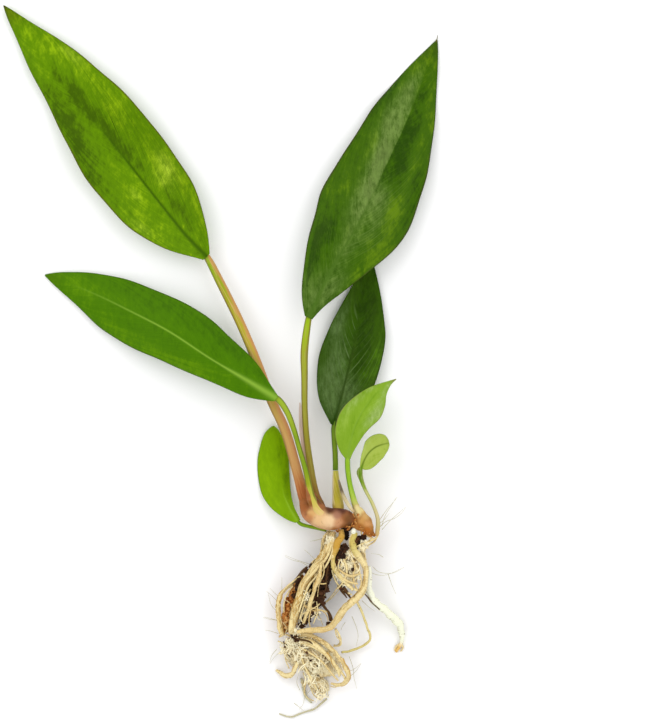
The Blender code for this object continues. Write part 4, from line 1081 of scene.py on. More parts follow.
# %% Thick roots
# x, y, height, radius from the stem outwards, as in the model
ROOTS = named_tables("""
root_left_main: 47.5 -71.9 11.8 1.1, 46.2 -76 12.2 1.3, 43.8 -81.1 12.8 1.2, 41 -85.3 13 1.25,
37.8 -89.8 13 1.4, 35.2 -94 12.2 1.5, 33.8 -98.3 11.4 1.5, 32.4 -102.9 11 1.5, 31.2 -107.5 10.8 1.45,
30.2 -111.7 10.6 1.4, 29.8 -114.7 10.4 1;
root_left_outer: 36.2 -87 9.8 0.4, 33.2 -91 8 0.42, 29.8 -94.5 7.6 0.45, 26.2 -97.4 7 0.7,
24.6 -101 6.4 0.85, 24.4 -104.6 6.2 0.85, 24.8 -109.2 6.6 1, 25.4 -113 7.2 1.15, 26.6 -115.5 7.6 0.7;
root_centre: 50.9 -71.1 13 1.2, 50.8 -74 14 1.3, 49.2 -76.8 14.6 1.6, 48.4 -79.8 14.8 1.15,
47.4 -83.6 15 0.85, 48 -87.4 15 0.95, 50.2 -90.5 14.6 0.9, 53.3 -93.7 14 0.75, 55.9 -96.2 14.6 0.6;
root_right_long: 57 -72.2 12.6 1, 55.6 -75 13 1.3, 56.3 -79 13.4 1.35, 58.4 -82.3 13.4 1.4,
60.5 -85.3 13.2 1.2, 61.3 -89 12.8 1.05, 60.9 -93.7 12.4 1.1, 59.2 -97.4 12.2 1.3, 55.9 -100.8 12 1.4,
52.1 -104.2 11.8 1.4, 49.6 -107.9 11.8 1.4, 47.3 -110.9 11.8 1.4, 44.1 -112.8 12 1.25, 39.9 -113 12.6 1.2,
35.7 -113.2 13.4 1, 32.3 -113.8 13.8 0.7;
root_right_pale: 62.4 -86.5 10.2 1, 62.6 -91.6 8.8 1.2, 62.4 -95.8 8.2 1.4, 64 -100 7.4 1.6,
67.6 -103.5 6.2 1.6, 71.4 -106.7 5 1.7, 74.3 -109.6 3.8 1.7, 76 -113 2.6 1.5, 76.4 -116.3 1.8 1.1,
76.2 -118.4 1.2 0.7, 75.2 -120.5 0.9 0.7, 73.9 -122.6 0.6 0.5;
root_loop_outer: 31.2 -115.6 8.4 0.7, 34.9 -114.9 9.2 0.8, 39.5 -115.9 9.4 0.8, 43.7 -118.4 9.2 0.9,
47.5 -121.8 9 0.9, 50.8 -125.6 8.6 0.9, 52.9 -129.4 8.2 0.9, 53.8 -132.7 7.4 0.9, 52.5 -135.2 6 0.8,
49.6 -136.3 4.6 0.7, 46.6 -135.7 3.6 0.5;
root_loop_inner: 32.4 -117.4 9.2 0.7, 36.1 -117.4 9.8 0.9, 40.3 -119.6 10 0.9, 44.1 -122.8 9.8 0.8,
47.2 -126.2 9.2 0.8, 49.4 -129.6 8.4 0.7, 50.2 -132.6 7.4 0.5;
root_loop_thin: 57.4 -101.2 10.2 0.5, 59.2 -104.8 9 0.5, 60.3 -107.5 8 0.5, 61.5 -111.3 6.4 0.5,
62.9 -115.1 4.8 0.5, 62.7 -117.8 3.4 0.5, 60.1 -119.9 2.4 0.5, 56.7 -121.4 2.2 0.5, 53.3 -122.4 3 0.5,
51.2 -122.6 4.4 0.5;
root_twig: 48.6 -112.6 10.2 0.5, 50 -115.4 8.4 0.5, 50.6 -118.4 6 0.5, 49.2 -119.7 5 0.4,
47.8 -119.5 4.6 0.3;
root_stub_left: 32.6 -126.6 8.8 0.8, 31.6 -129.2 7.6 0.9, 30.2 -131.6 5 1, 27.6 -132.4 2.8 0.9,
25.2 -131.2 1.4 0.75, 23.5 -130.2 0.9 0.5;
root_shoot: 64.4 -74.6 11.4 0.6, 61.9 -76.2 11 0.7, 59.6 -78.2 10 0.7, 59.9 -81.9 9.4 0.7,
60.4 -84.8 8.8 0.5;
root_inner_left: 42.4 -85.4 15.8 0.6, 41.8 -90.6 16.4 0.7, 40.1 -94.8 15.6 0.7, 38.9 -98.8 14.4 0.7,
37.6 -103.1 13.2 0.7, 36.3 -106.9 12 0.6, 35.2 -110.2 11 0.5;
root_crown_left: 45.7 -72 10.2 0.5, 43.4 -75.3 8.4 0.6, 42.9 -78.3 8 0.6, 42.2 -81.6 7.8 0.6,
39.2 -84.6 7.6 0.5, 37.6 -86.2 7.6 0.4;
root_bottom: 44.8 -142.2 1.6 0.4, 42.4 -144.4 1.2 0.4, 39.5 -146.6 1 0.4, 36.1 -147.6 0.8 0.35,
33.2 -148.7 0.7 0.35, 30.2 -149.9 0.6 0.35, 27.7 -149.5 0.6 0.3, 24.8 -148.5 0.6 0.25;
root_pale_strap: 34.2 -133.6 1.6 0.5, 34.9 -136.4 1.2 0.65, 35.3 -139.2 0.9 0.65, 36.5 -142 0.9 0.55,
38.6 -143.9 0.8 0.35""")
# How golden a root is along its length: (share, 0 to 1). Those not named are cream
ROOT_AGE = named_tables("""
root_left_main: 0 0.5, 0.12 0.2, 1 0.15;
root_left_outer: 0 0.3, 1 0.35;
root_centre: 0 0.7, 0.25 1, 0.42 0.6, 0.7 0.3, 1 0.1;
root_right_long: 0 0.4, 0.1 0.3, 0.2 0.2, 0.55 0.3, 0.8 0.55, 1 0.5;
root_right_pale: 0 0, 0.85 0, 0.93 0.8, 1 1;
root_loop_outer: 0 0.6, 0.5 0.3, 1 0.3;
root_inner_left: 0 0.5, 1 0.4;
root_crown_left: 0 0.3, 1 0.2""")
# How green or blanched a root is, in the same way
ROOT_GREEN = named_tables("""
root_right_long: 0 1, 0.1 0.9, 0.2 0;
root_right_pale: 0 0.5, 0.5 0.9, 0.85 0.9, 0.95 0.2, 1 0;
root_loop_thin: 0 0.3, 1 0.7;
root_centre: 0 0.3, 0.3 0.7, 0.6 0.6, 0.8 0.1, 1 0;
root_pale_strap: 0 0.3, 1 0.5""")


print(len(ROOTS), "thick roots,", len(ROOT_AGE), "with ages of their own")

# %% Root finish
ROOT_SHINE = (1.0, 0.95, 0.6, 1.0)


def root_finish(name, dark, light, gold, blanched):
    """Cream with a cloudy grain and painted light on top, golden by age, greenish white where young, and peat
    brown with painted shade in the wrinkles and underneath.
    """
    material, base = new_finish(name)
    place = base.place()
    age, green, top = base.attribute("age"), base.attribute("green"), base.attribute("top")
    cloud = place.noise(300.0, 4.0)
    grain = place.noise(1600.0, 3.0)
    ridge = base.attribute("skin", 1).stretched((1.4, 0.5, 1)).noise(1.0, 4.0, 0.65)
    # top * 0.3 is painted light: the upper sides of the roots lighter and the undersides darker.
    tone = cloud * 0.6 + grain * 0.4 + ridge * 1.1 + top * 0.3
    colour = tone.smooth(0.7, 1.45).mix(dark, light)
    colour = (green * 0.85).mix(colour, blanched)
    golden = (age + (cloud - 0.5) * 0.8).smooth(0.15, 1.1)
    colour = golden.mix(colour, gold)
    # The soil mask is peat specks and painted shade: it is stronger in the wrinkles and on the undersides.
    soil = (grain * 0.7 + (1.0 - ridge) * 0.7 + cloud * 0.5 - top * 0.1).smooth(0.95, 1.12)
    colour = (soil * 0.75).mix(colour, (104, 70, 32))
    return close_finish(material, base, colour, 0.6, grain * 0.3 + ridge * 0.7, 0.4, 0.25, ROOT_SHINE)


def plain_attributes(attributes, ages):
    """The values that a root's finish reads, with one age for each tube and nothing blanched."""
    flat = 0 * attributes["top"]
    return {"skin": attributes["skin"], "top": attributes["top"], "age": flat + ages, "green": flat}


def root_attributes(attributes, age, green):
    """Adds how golden and how blanched each point is, from pairs of a share along and a value."""
    for label, pairs in (("age", age), ("green", green)):
        shares, values = zip(*pairs)
        attributes[label] = np.interp(attributes["along"], shares, values)
    return {label: attributes[label] for label in ("skin", "top", "age", "green")}


print("root finishes ready")

# %% Make the thick roots
thick_root_finish = root_finish("root_skin", (172, 136, 72), (238, 220, 164), (192, 144, 50), (196, 184, 88))
hair_finish = root_finish("hair_skin", (156, 150, 116), (196, 190, 156), (176, 160, 110), (200, 202, 178))
pale_finish = root_finish("pale_skin", (216, 214, 180), (252, 250, 236), (226, 176, 70), (238, 242, 214))
ROOT_FINISH = {"root_right_pale": pale_finish, "root_bottom": hair_finish, "root_pale_strap": hair_finish}
for number, (root, route) in enumerate(ROOTS.items()):
    rings, attributes = tube_rings(spaced_route(route, 0.45, 24), 18, 0.16, 0.9, 0, 50 + number)
    attributes = root_attributes(attributes, ROOT_AGE.get(root, [(0, 0.1)]), ROOT_GREEN.get(root, [(0, 0)]))
    mesh = ring_mesh(root + "_skin", rings, attributes)
    add_piece(root + "_skin", mesh, ROOT_FINISH.get(root, thick_root_finish), (root,))
rings, attributes = tube_rings(smooth_route(BUD, 24), 18, 0.12, 0.9, 0, 49)
mesh = ring_mesh("white_bud", rings, root_attributes(attributes, [(0, 0)], [(0, 0.6)]))
add_piece("white_bud", mesh, pale_finish)
print(len(ROOTS), "thick roots and a bud made")

# %% [markdown]
# ## Side roots
# Thinner roots net the root ball together. They are too many and too fine for solids, so they are
# here only, in one mesh. A root has as many rings as any other, which keeps the whole net one array.

# %% Side roots
# x, y, height, radius
SIDE_ROOTS = tables("""
44.5 -72.7 11.5 0.35, 43.3 -74.8 11.5 0.35, 43.7 -77.3 11.5 0.32, 44.9 -79.4 11.8 0.3; 48.7 -78.5 14.8 0.6,
47.5 -82.3 15 0.7, 47.9 -86.5 14.6 0.7, 49.6 -89.9 14.2 0.65, 52.1 -92.4 14 0.6, 55 -94.9 13.8 0.55,
57.5 -96.6 13.6 0.4; 52.5 -79 13.6 0.35, 50.8 -82.3 14.2 0.35, 49.6 -86.5 14.4 0.35, 50.4 -90.3 14 0.35,
52.9 -93.7 13.4 0.3; 54.2 -79.4 13.2 0.4, 55.4 -83.2 13.8 0.4, 57.1 -86.5 14 0.4, 58.8 -89.9 13.6 0.4,
59.2 -93.7 13 0.35, 58 -96.6 12.4 0.3; 47.6 -73.6 12.6 0.7, 46.6 -78.4 13.6 0.75, 44.8 -82.6 14.4 0.7,
41.4 -86.6 14.6 0.75, 38.4 -89.8 14.6 0.7, 35.6 -93.4 13.8 0.6, 34 -98 13 0.5; 48.2 -76.4 14 0.4,
46.6 -81.8 15 0.45, 44.4 -86.2 15 0.4, 41 -90 14.6 0.45, 37.6 -94 14 0.45, 35.2 -99.4 13.2 0.4,
33.2 -105.4 12.6 0.35; 33.6 -90.6 10 0.35, 29.2 -94 9 0.4, 25.6 -97.8 8 0.35; 49.8 -87.6 14.6 0.35,
52.4 -89.4 15 0.5, 55.2 -90.4 15 0.55, 58.2 -89.6 14.4 0.4; 48.8 -89.8 14.4 0.4, 51.6 -91.4 14.8 0.5,
54.6 -93 14.6 0.5, 57.8 -93.6 14 0.4; 51.2 -82.4 13.8 0.4, 52.8 -85.4 14.4 0.45, 53.2 -89 14.8 0.45,
51.8 -92.6 14.4 0.4, 49.2 -95.8 13.6 0.3; 56.2 -84 13.6 0.35, 56.6 -86.6 14.2 0.4, 56 -89.8 14.4 0.4,
56.4 -93.4 14 0.35, 58 -96.8 13.2 0.3; 50.4 -79.4 12 0.3, 52.9 -80.6 12.6 0.3, 56.3 -81.1 13 0.3,
59.2 -83.2 12.8 0.3, 60.5 -86.5 12.2 0.25; 55.4 -79 12.8 0.3, 53.8 -82.3 13.6 0.3, 51.2 -84.8 14 0.3,
50.4 -87.8 13.6 0.3; 46.6 -86.5 13.4 0.4, 47.9 -90.7 13.2 0.4, 49.6 -94.1 12.8 0.4, 52.5 -96.6 12.6 0.4,
55.4 -98.3 12.4 0.3; 49.6 -94.5 10.5 0.22, 47.9 -97.4 9 0.22, 45.4 -100.4 7.5 0.2, 42.8 -102.9 6.5 0.18;
51.7 -93.2 11 0.2, 49.6 -96.6 9 0.2, 46.6 -100 7 0.2, 43.7 -102.1 6.5 0.18; 59.6 -78.1 12.4 0.3,
60.9 -81.9 12.2 0.3, 60.1 -84.8 12 0.3; 66.8 -72.2 11 0.35, 65.1 -74.8 11.4 0.35, 62.2 -76 12 0.33,
59.6 -76.9 12.6 0.33, 56.7 -78.5 13 0.3; 66.4 -73.1 10.6 0.35, 64.7 -76 10 0.35, 62.2 -77.7 9.6 0.35,
60.5 -80.6 9.8 0.33, 61.3 -84 9.6 0.3; 45.8 -81.1 13.6 0.45, 43.7 -84.4 13.8 0.5, 42.4 -88.2 13.8 0.45,
41.6 -91.6 13.4 0.4; 47.9 -79.4 13.6 0.3, 46.2 -83.2 14 0.33, 44.5 -86.5 14 0.3, 43.7 -89.9 13.4 0.28;
41.2 -86.5 13.6 0.35, 39.9 -89.9 13.6 0.38, 40.3 -93.7 13.2 0.36, 39.1 -97.4 12.8 0.34,
37.4 -100.8 12.2 0.3; 42.8 -84 13.4 0.3, 41.6 -87.4 14 0.32, 39.9 -91.1 13.8 0.3, 39.1 -94.9 13 0.28;
38.2 -95.8 12.6 0.4, 36.1 -99.5 12.4 0.42, 34.9 -103.7 11.8 0.4, 33.6 -108.4 11.2 0.36; 40.7 -100 12 0.3,
38.2 -102.5 11.8 0.3, 36.1 -105.8 11.4 0.3, 34.9 -110 10.8 0.28; 46.6 -92 12.6 0.2, 44.1 -93.2 12.9 0.22,
41.6 -93.7 12.6 0.2; 34.9 -102.5 12.4 0.28, 38.6 -103.7 12.2 0.3, 42 -104.6 11.6 0.3, 45.4 -105.8 10.4 0.28,
46.6 -108.8 9.8 0.22; 39.5 -105.4 9 0.18, 41.2 -106.7 7 0.18, 42.4 -109.2 6 0.18, 43.3 -111.3 7 0.15;
30.7 -94.5 8.4 0.3, 28.1 -98.3 8 0.32, 26.9 -102.1 7.6 0.32, 26.9 -105.8 7.4 0.3; 33.6 -100.8 9.6 0.35,
32.3 -105 9.4 0.37, 31.5 -109.2 9.2 0.36, 31.9 -114.2 9.2 0.34; 28.1 -100.8 7.4 0.25, 30.2 -103.3 7.8 0.27,
29.4 -107.1 7.4 0.27, 30.7 -110.9 7.6 0.25; 26.5 -110 6.6 0.28, 28.1 -112.6 7 0.3, 26.9 -115.1 6.4 0.3,
24.8 -116.3 5.4 0.25; 31.9 -117.6 9.4 0.5, 37 -119.3 9.8 0.55, 42 -121.8 9.6 0.55, 46.6 -125.6 9 0.55,
50.4 -130.2 8 0.55, 52.5 -133.6 6.6 0.5, 50.8 -136.1 5.2 0.45, 47.9 -136.1 4.2 0.4; 32.3 -119.7 8.6 0.4,
36.1 -121.8 9 0.45, 40.3 -124.3 9 0.45, 44.1 -127.7 8.6 0.45, 47 -131.5 7.6 0.42, 49.6 -134.4 6 0.35;
33.6 -122.6 8.2 0.4, 34.9 -126.8 8.2 0.45, 37 -131 7.4 0.45, 39.1 -135.2 6 0.42, 41.2 -139 4.4 0.38;
26.9 -121.8 6.4 0.28, 27.7 -126 5.6 0.28, 29 -129.4 4.4 0.25; 24.8 -115.9 4.6 0.3, 27.7 -115.1 6.4 0.33,
30.7 -116.3 7.6 0.33, 33.6 -115.9 8.6 0.3; 24.4 -118 3.4 0.3, 27.3 -118.9 5.6 0.33, 30.7 -118 7.4 0.33,
34.4 -119.3 8.8 0.3; 25.2 -120.5 3.4 0.28, 28.6 -121.4 5.8 0.3, 31.9 -121 7.6 0.3, 35.7 -122.6 8.6 0.28;
34.9 -131 5.4 0.25, 36.1 -135.2 3.8 0.25, 35.3 -139.4 1.8 0.22, 37 -142 1.2 0.22, 39.5 -143.2 1.2 0.2;
37.8 -136.9 4.2 0.25, 39.5 -140.7 2.4 0.25, 42.4 -142.8 1.4 0.22; 46.6 -136.9 3.4 0.25,
48.3 -137.3 2.4 0.25, 50.8 -136.1 2.4 0.22; 60.6 -71.6 12.4 0.3, 61.8 -73.6 12 0.3, 63.8 -74.4 11.6 0.25;
59.2 -71 12.6 0.3, 59.6 -73.2 12.2 0.3, 61.2 -74.8 11.6 0.25; 43.2 -84.6 15.6 0.25, 43.6 -89 15.4 0.28,
41.6 -94 15 0.25, 41 -99 13.8 0.22; 41.6 -93.4 15.2 0.3, 43 -93.6 15.6 0.32, 44.6 -93.4 15.2 0.28;
38.8 -100.6 13.4 0.25, 38 -105 12.6 0.28, 37.4 -109.6 11.6 0.25, 38.4 -112.6 11.4 0.2; 40.6 -101 12.6 0.22,
41 -105.4 11.8 0.25, 39.2 -110.4 11.2 0.22; 44 -98 12.6 0.22, 41.6 -102.2 12.6 0.25, 38 -104.6 12.8 0.25,
34.6 -106.4 12.4 0.22; 35.3 -102.9 12.4 0.25, 37.8 -104.6 12.4 0.25, 40.7 -105 11.8 0.24, 42.8 -105 11 0.22,
45 -107.4 10.6 0.2, 45.8 -113 10.8 0.2; 48.3 -112.6 10.2 0.28, 49.1 -115.9 8.6 0.28, 50.8 -118 7.6 0.28,
50.4 -119.7 7 0.25, 47.5 -120.1 6.6 0.22; 75.6 -119.2 1.2 0.45, 74 -120.2 1 0.4, 73.2 -122 0.8 0.3;
76 -119 1.2 0.4, 76.8 -120.8 0.8 0.35, 75.8 -122.4 0.7 0.25""")
SIDE_ROOT_RINGS = 48


def bundle(name, routes, tube, ages, finish, replaced=()):
    """Many tubes as one piece, each with its age. Tube: points round, unevenness, its pitch, seed."""
    points, uneven, pitch, seed = tube
    rings, attributes = tube_rings(routes, points, uneven, pitch, 0, seed)
    mesh = ring_mesh(name, rings, plain_attributes(attributes, ages[:, None, None]))
    return add_piece(name, mesh, finish, replaced)


def net_piece(name, routes, finish, points, rings, uneven, seed, age, replaced=()):
    """Many roots through given points as one piece, each with an age drawn between two limits."""
    smooth = np.stack([smooth_route(route, rings) for route in routes])
    ages = np.random.default_rng(seed).uniform(*age, len(routes))
    return bundle(name, smooth, (points, uneven, 1.2, seed), ages, finish, replaced)


net_piece("side_roots", SIDE_ROOTS, thick_root_finish, 10, SIDE_ROOT_RINGS, 0.14, 80, (0.0, 0.6))
print(len(SIDE_ROOTS), "side roots made")

# %% [markdown]
# ## Hair roots
# Young root tips stand out from the ball like hairs and lie down on the table. They are pale, and so
# thin that from a distance only their lines are seen.

# %% Hair roots
# x, y, height. The named ones are in the model too. HAIR_RADIUS is the radius at the root, in millimetres
HAIR_RADIUS = 0.14
HAIRS = named_tables("""
hair_root_high: 67.9 -69.4 12.6, 69.3 -65 13, 71.8 -61 12.6, 73.9 -57.5 12;
hair_root_top: 68 -71 11.8, 71.4 -67.2 11.2, 75.2 -63.9 10.4, 77.7 -61.7 9.6;
hair_root_right: 64 -86.6 9.2, 67.2 -89 7.4, 72.5 -89.3 5.8, 77.3 -87.1 4.4;
hair_root_low: 55 -132.4 5.6, 57.4 -130.2 3, 59.2 -127.3 2.2;
hair_root_left_top: 37.2 -86.4 11.6, 34.2 -84.8 9, 30.2 -83.8 5.6, 27.3 -82.3 4.4;
hair_root_left_mid: 23.8 -101 5.8, 21.8 -98.9 4.4, 19.5 -97 3.2;
hair_root_left_low: 23.8 -109.1 6.2, 21 -108.8 4.4, 18.1 -108.1 3.2;
hair_root_left_bottom: 25.4 -122.4 2.8, 23 -124.6 1.5, 20.8 -127.6 0.8""")
MORE_HAIRS = tables("""
61.3 -87.4 9, 64.3 -89.5 7, 68 -90.3 5, 71.8 -89.5 3.6, 77.3 -86.9 2.4; 70.6 -89.9 4, 72.2 -94.5 2.6,
73.9 -98.3 1.6; 39.5 -86.1 10, 35.3 -84.8 7, 31.5 -83.6 4, 27.3 -81.9 2; 25.2 -99.5 6, 23.1 -97.9 4.4,
21 -95.8 3; 23.9 -105.4 5.6, 21.4 -102.5 4, 20.2 -97.4 2.4; 24.4 -109.2 5.6, 21 -108.4 3.6, 18.5 -107.9 2;
24.4 -114.7 4.6, 21.4 -113.8 3, 18.9 -113.4 2; 23.9 -121.4 3.2, 21.8 -123.9 1.8, 21 -126.8 0.8; 26 -96.6 6,
26 -93.7 5, 26 -91.1 4; 54.2 -130.6 6, 56.7 -129.4 3.4, 59.2 -127.3 2; 54.2 -124.3 5, 55.9 -129.4 3,
56.3 -133.6 1.6, 57.5 -138.2 0.8; 45.8 -140.3 2.4, 44.1 -142.8 1.4, 41.6 -144.5 1.1, 39.9 -146.6 0.9,
36.1 -147.8 0.8, 32.8 -149.1 0.7; 31.1 -144.1 0.6, 33.2 -145.7 0.9, 35.3 -147.4 1; 38.2 -138.2 4,
35.7 -141.5 1.4, 34.9 -144.5 0.8, 33.2 -146.6 0.6; 66.8 -67.2 11, 69.7 -63 11, 72.2 -60.1 10.4,
74.3 -57.5 10; 66.8 -70.1 10.6, 69.7 -67.6 10, 73.1 -66.4 9, 76 -64.3 8, 78.1 -61.7 7.4; 66.4 -68.9 11,
68.9 -66.8 10, 71 -64.3 9.4; 52.5 -110 8, 51.2 -112.1 6, 50.8 -113.4 4.6; 55.4 -107.5 7, 57.1 -111.7 4.6,
58 -115.9 3, 57.1 -120.1 2.6; 40.3 -84 12, 37.4 -81.1 10, 35.3 -79.4 8.4; 59.6 -100.8 9, 62.2 -103.3 7,
65.1 -105.4 5.6; 33.6 -138.6 2.6, 32.3 -135.2 4, 33.2 -131 5.4; 42.8 -74.8 10, 39.9 -75.6 8, 37.8 -76 6.4;
53.8 -77.7 13, 55.4 -76 12.6, 57.5 -76 12.4; 68.5 -82.7 5, 66.4 -81.5 6.4, 63.4 -81.1 8""")


def hair_route(points):
    """The points with a radius that falls to a third of HAIR_RADIUS at the tip."""
    return np.column_stack([np.array(points, float), np.linspace(HAIR_RADIUS, HAIR_RADIUS / 3, len(points))])


hair_routes = [hair_route(points) for points in [*HAIRS.values(), *MORE_HAIRS]]
net_piece("hair_roots", hair_routes, hair_finish, 6, 28, 0.1, 90, (0.0, 0.2), tuple(HAIRS))
print(len(hair_routes), "hair roots made")

# %% [markdown]
# ## Mats of fine roots
# Where roots meet the gravel they branch into mats. A mat is made of strands that run between guide
# lines: each strand drifts from one share of the way across them to another, and wavers a little.
# Particle hair could do it too. An array of tubes gives real thickness and needs no grooming.

# %% Mats
# Guides (x, y) side by side; how many strands; their greatest height over the table along them; their
# radius; the least and greatest share of the way that one goes; how low the lowest strand lies, as a
# share of the height; and which model mat they stand for
MATS = {
    "inner_left_mat": {
        "guides": tables("34.9 -100, 32.8 -105.8, 31.9 -111.7; 40.3 -100, 38.2 -105.8, 35.7 -111.7"),
        "strands": 30, "top": (12.5, 12.5, 12), "radius": 0.26, "spread": (0.3, 0.8), "floor": 0.6,
    },
    "crown_mat": {
        "guides": tables("44.6 -71.4, 43.2 -75.8, 44.2 -80; 49 -71.4, 48.6 -75.8, 48.2 -80"),
        "strands": 34, "top": (13, 14, 14.5), "radius": 0.24, "spread": (0.3, 0.7), "floor": 0.5,
    },
    "upper_right_mat": {
        "guides": tables("""
            51.7 -79.4, 50.8 -84, 50.6 -89, 52.9 -94.9; 57.1 -79.8, 58 -84, 57.8 -89.9, 57.1 -96.6"""),
        "strands": 64, "top": (13, 14, 14, 12.5), "radius": 0.24, "spread": (0.2, 0.7), "floor": 0.4,
        "replaces": ("root_mat_right",),
    },
    "lower_mat": {
        "guides": tables("""
            28.4 -116.2, 26.9 -120.8, 28.1 -125.7, 30.8 -129; 32.3 -116.3, 33 -122.9, 36 -128.3, 39.5 -133;
            34.9 -115.9, 39.9 -121, 44.1 -126.5, 46.8 -132.4; 35.3 -115.4, 42 -118.2, 48.6 -124.7,
            51.9 -131"""),
        "strands": 130, "top": (7.4, 9.2, 9.0, 6.0), "radius": 0.22, "spread": (0.4, 1.0), "floor": 0.45,
        "replaces": ("root_mat_lower",),
    },
    "tail_mat": {
        "guides": tables("""
            34.6 -131.3, 36.6 -135.3, 39.2 -139.2, 41.6 -142.6; 42.4 -132.3, 45.2 -135.8, 45.6 -138.8,
            44.8 -142.2"""),
        "strands": 30, "top": (5.2, 5.2, 4.4, 2.6), "radius": 0.24, "spread": (0.3, 0.9), "floor": 0.4,
        "replaces": ("root_mat_tail",),
    },
}
print(sum(mat["strands"] for mat in MATS.values()), "strands in", len(MATS), "mats")

# %% Strands
STRAND_RINGS = 36
GUIDE_POINTS = 60
STRAND_DRIFT = 0.2


def strands(mat, seed):
    """Routes (strands, rings, 4) that run between a mat's guides.

    A strand starts and ends at random shares of the mat's length and width and goes evenly from the
    one to the other. Its height is the mat's greatest there times a dome across it and its own layer.
    """
    rng = np.random.default_rng(seed)
    level = [np.column_stack([guide, np.zeros(len(guide))]) for guide in mat["guides"]]
    guides = np.stack([smooth_route(guide, GUIDE_POINTS)[:, :2] for guide in level])
    count = mat["strands"]
    step = np.linspace(0, 1, STRAND_RINGS)
    start = rng.uniform(0, 0.45, (count, 1))
    end = rng.uniform(start + mat["spread"][0], np.minimum(start + mat["spread"][1], 1) + 1e-6, (count, 1))
    along = np.clip(start + (end - start) * step, 0, 1)
    wide = rng.uniform(0, 1, (count, 1))
    drift = rng.normal(0, STRAND_DRIFT, (count, 1)) * step
    swing = np.sin(TURN * step * rng.uniform(0.5, 2, (count, 1)) + rng.uniform(0, TURN, (count, 1)))
    across = np.clip(wide + drift + 0.05 * swing, 0.0, 1.0)
    row = along * (GUIDE_POINTS - 1)
    column = across * (len(guides) - 1)
    low = np.minimum(row.astype(int), GUIDE_POINTS - 2)
    left = np.minimum(column.astype(int), len(guides) - 2)
    u, v = (row - low)[..., None], (column - left)[..., None]
    place = (guides[left, low] * (1 - u) * (1 - v) + guides[left, low + 1] * u * (1 - v)
             + guides[left + 1, low] * (1 - u) * v + guides[left + 1, low + 1] * u * v)
    top = np.interp(along, np.linspace(0, 1, len(mat["top"])), mat["top"])
    dome = np.sqrt(np.clip(1 - (2 * across - 1) ** 2, 0.05, 1))
    layer = rng.uniform(mat["floor"], 1, (count, 1))
    turn = rng.uniform(0, TURN, (3, count, 1))
    waver = rng.uniform(0.1, 0.35, (count, 1))
    x = place[..., 0] + waver * np.sin(TURN * step * 2.3 + turn[0])
    y = place[..., 1] + waver * np.sin(TURN * step * 2.9 + turn[1])
    z = 0.3 + (top - 0.6) * dome * layer + 0.3 * np.sin(TURN * step * 1.7 + turn[2])
    radius = mat["radius"] * rng.uniform(0.6, 1.35, (count, 1)) * (1.1 - 0.4 * step)
    return np.stack([x, y, np.maximum(z, radius + LOWEST), radius + 0 * x], -1)


strand_finish = root_finish("strand_skin", (236, 210, 154), (255, 250, 218), (220, 184, 106), (226, 224, 190))
for number, (name, mat) in enumerate(MATS.items()):
    routes = strands(mat, 200 + number)
    ages = np.random.default_rng(300 + number).uniform(0, 0.9, len(routes))
    tube = (6, 0.08, 1.2, 100 + number)
    made = bundle(name, routes, tube, ages, strand_finish, mat.get("replaces", ()))
    print(made.name, len(made.data.polygons), "faces")

# %% [markdown]
# ## Tangles
# Strands that all run one way look combed. In a real root ball others cross them at every angle, so
# small tangles of loose arcs lie over the mats. An arc of a circle is the simplest curve that bends
# evenly, and its random size, heading and length are enough to make every one different.

# %% Tangles
# x, y, height and reach of each tangle's middle, and how many strands cross in it
TANGLES = [
    (54.4, -81.6, 13.4, 2.2, 16), (53.6, -86.2, 13.8, 3.0, 26), (56.6, -89.6, 13.8, 2.6, 20),
    (54.0, -92.6, 13.6, 2.4, 22), (59.2, -79.0, 12.6, 2.0, 14), (46.0, -75.6, 13.4, 2.0, 20),
    (50.8, -90.6, 14.4, 2.2, 22), (60.8, -77.0, 12.2, 1.8, 12), (31.4, -113.6, 11.4, 1.8, 14),
    (30.4, -118.4, 8.6, 3.0, 30), (27.4, -121.6, 6.6, 2.6, 14), (33.6, -123.6, 8.6, 3.0, 14),
    (37.6, -127.6, 8.6, 3.4, 12), (43.0, -126.0, 8.8, 3.0, 6), (36.0, -118.6, 9.8, 2.4, 16),
    (38.0, -133.6, 6.6, 2.6, 14), (42.0, -137.4, 5.0, 2.6, 6), (42.6, -141.0, 3.6, 1.8, 12),
    (39.4, -106.0, 11.2, 2.4, 14), (37.4, -98.6, 13.4, 2.0, 10),
]


def loops(seed):
    """Routes (strands, rings, 4) of arcs of circles, nearly level, that cross near their tangle's middle.

    The arc's circle has a random radius, and its middle lies that far from the crossing.
    """
    rng = np.random.default_rng(seed)
    x, y, z, reach, count = (np.array(column) for column in zip(*TANGLES))
    which = np.repeat(np.arange(len(count)), count)
    reach = reach[which][:, None]
    shift = rng.normal(0, 0.4, (len(which), 3)).clip(-0.8, 0.8) * reach * (1, 1, 0.2)
    crossing = np.stack([x, y, z], -1)[which] + shift
    size = rng.uniform(0.5, 2.4, (len(which), 1)) * reach
    heading = rng.uniform(0, TURN, (len(which), 1))
    span = rng.uniform(0.9, 2.4, (len(which), 1)) * reach / size
    step = np.linspace(0, 1, STRAND_RINGS)
    angle = heading + span * (step - 0.5)
    waver = 0.12 * np.sin(TURN * step * 2.2 + heading * 7)
    east = size * (np.cos(angle) - np.cos(heading)) + waver
    north = size * (np.sin(angle) - np.sin(heading)) + waver
    tilt = rng.uniform(-0.3, 0.3, (2, len(which), 1))
    radius = rng.uniform(0.12, 0.32, (len(which), 1)) * (1.1 - 0.5 * step)
    height = np.maximum(crossing[:, 2:] + tilt[0] * east + tilt[1] * north, radius + LOWEST)
    return np.stack([crossing[:, :1] + east, crossing[:, 1:2] + north, height, radius], -1)


tangled = loops(31)
ages = np.random.default_rng(32).uniform(0, 0.5, len(tangled))
bundle("tangled_roots", tangled, (6, 0.1, 1.0, 700), ages, strand_finish)
print(len(tangled), "tangled strands")
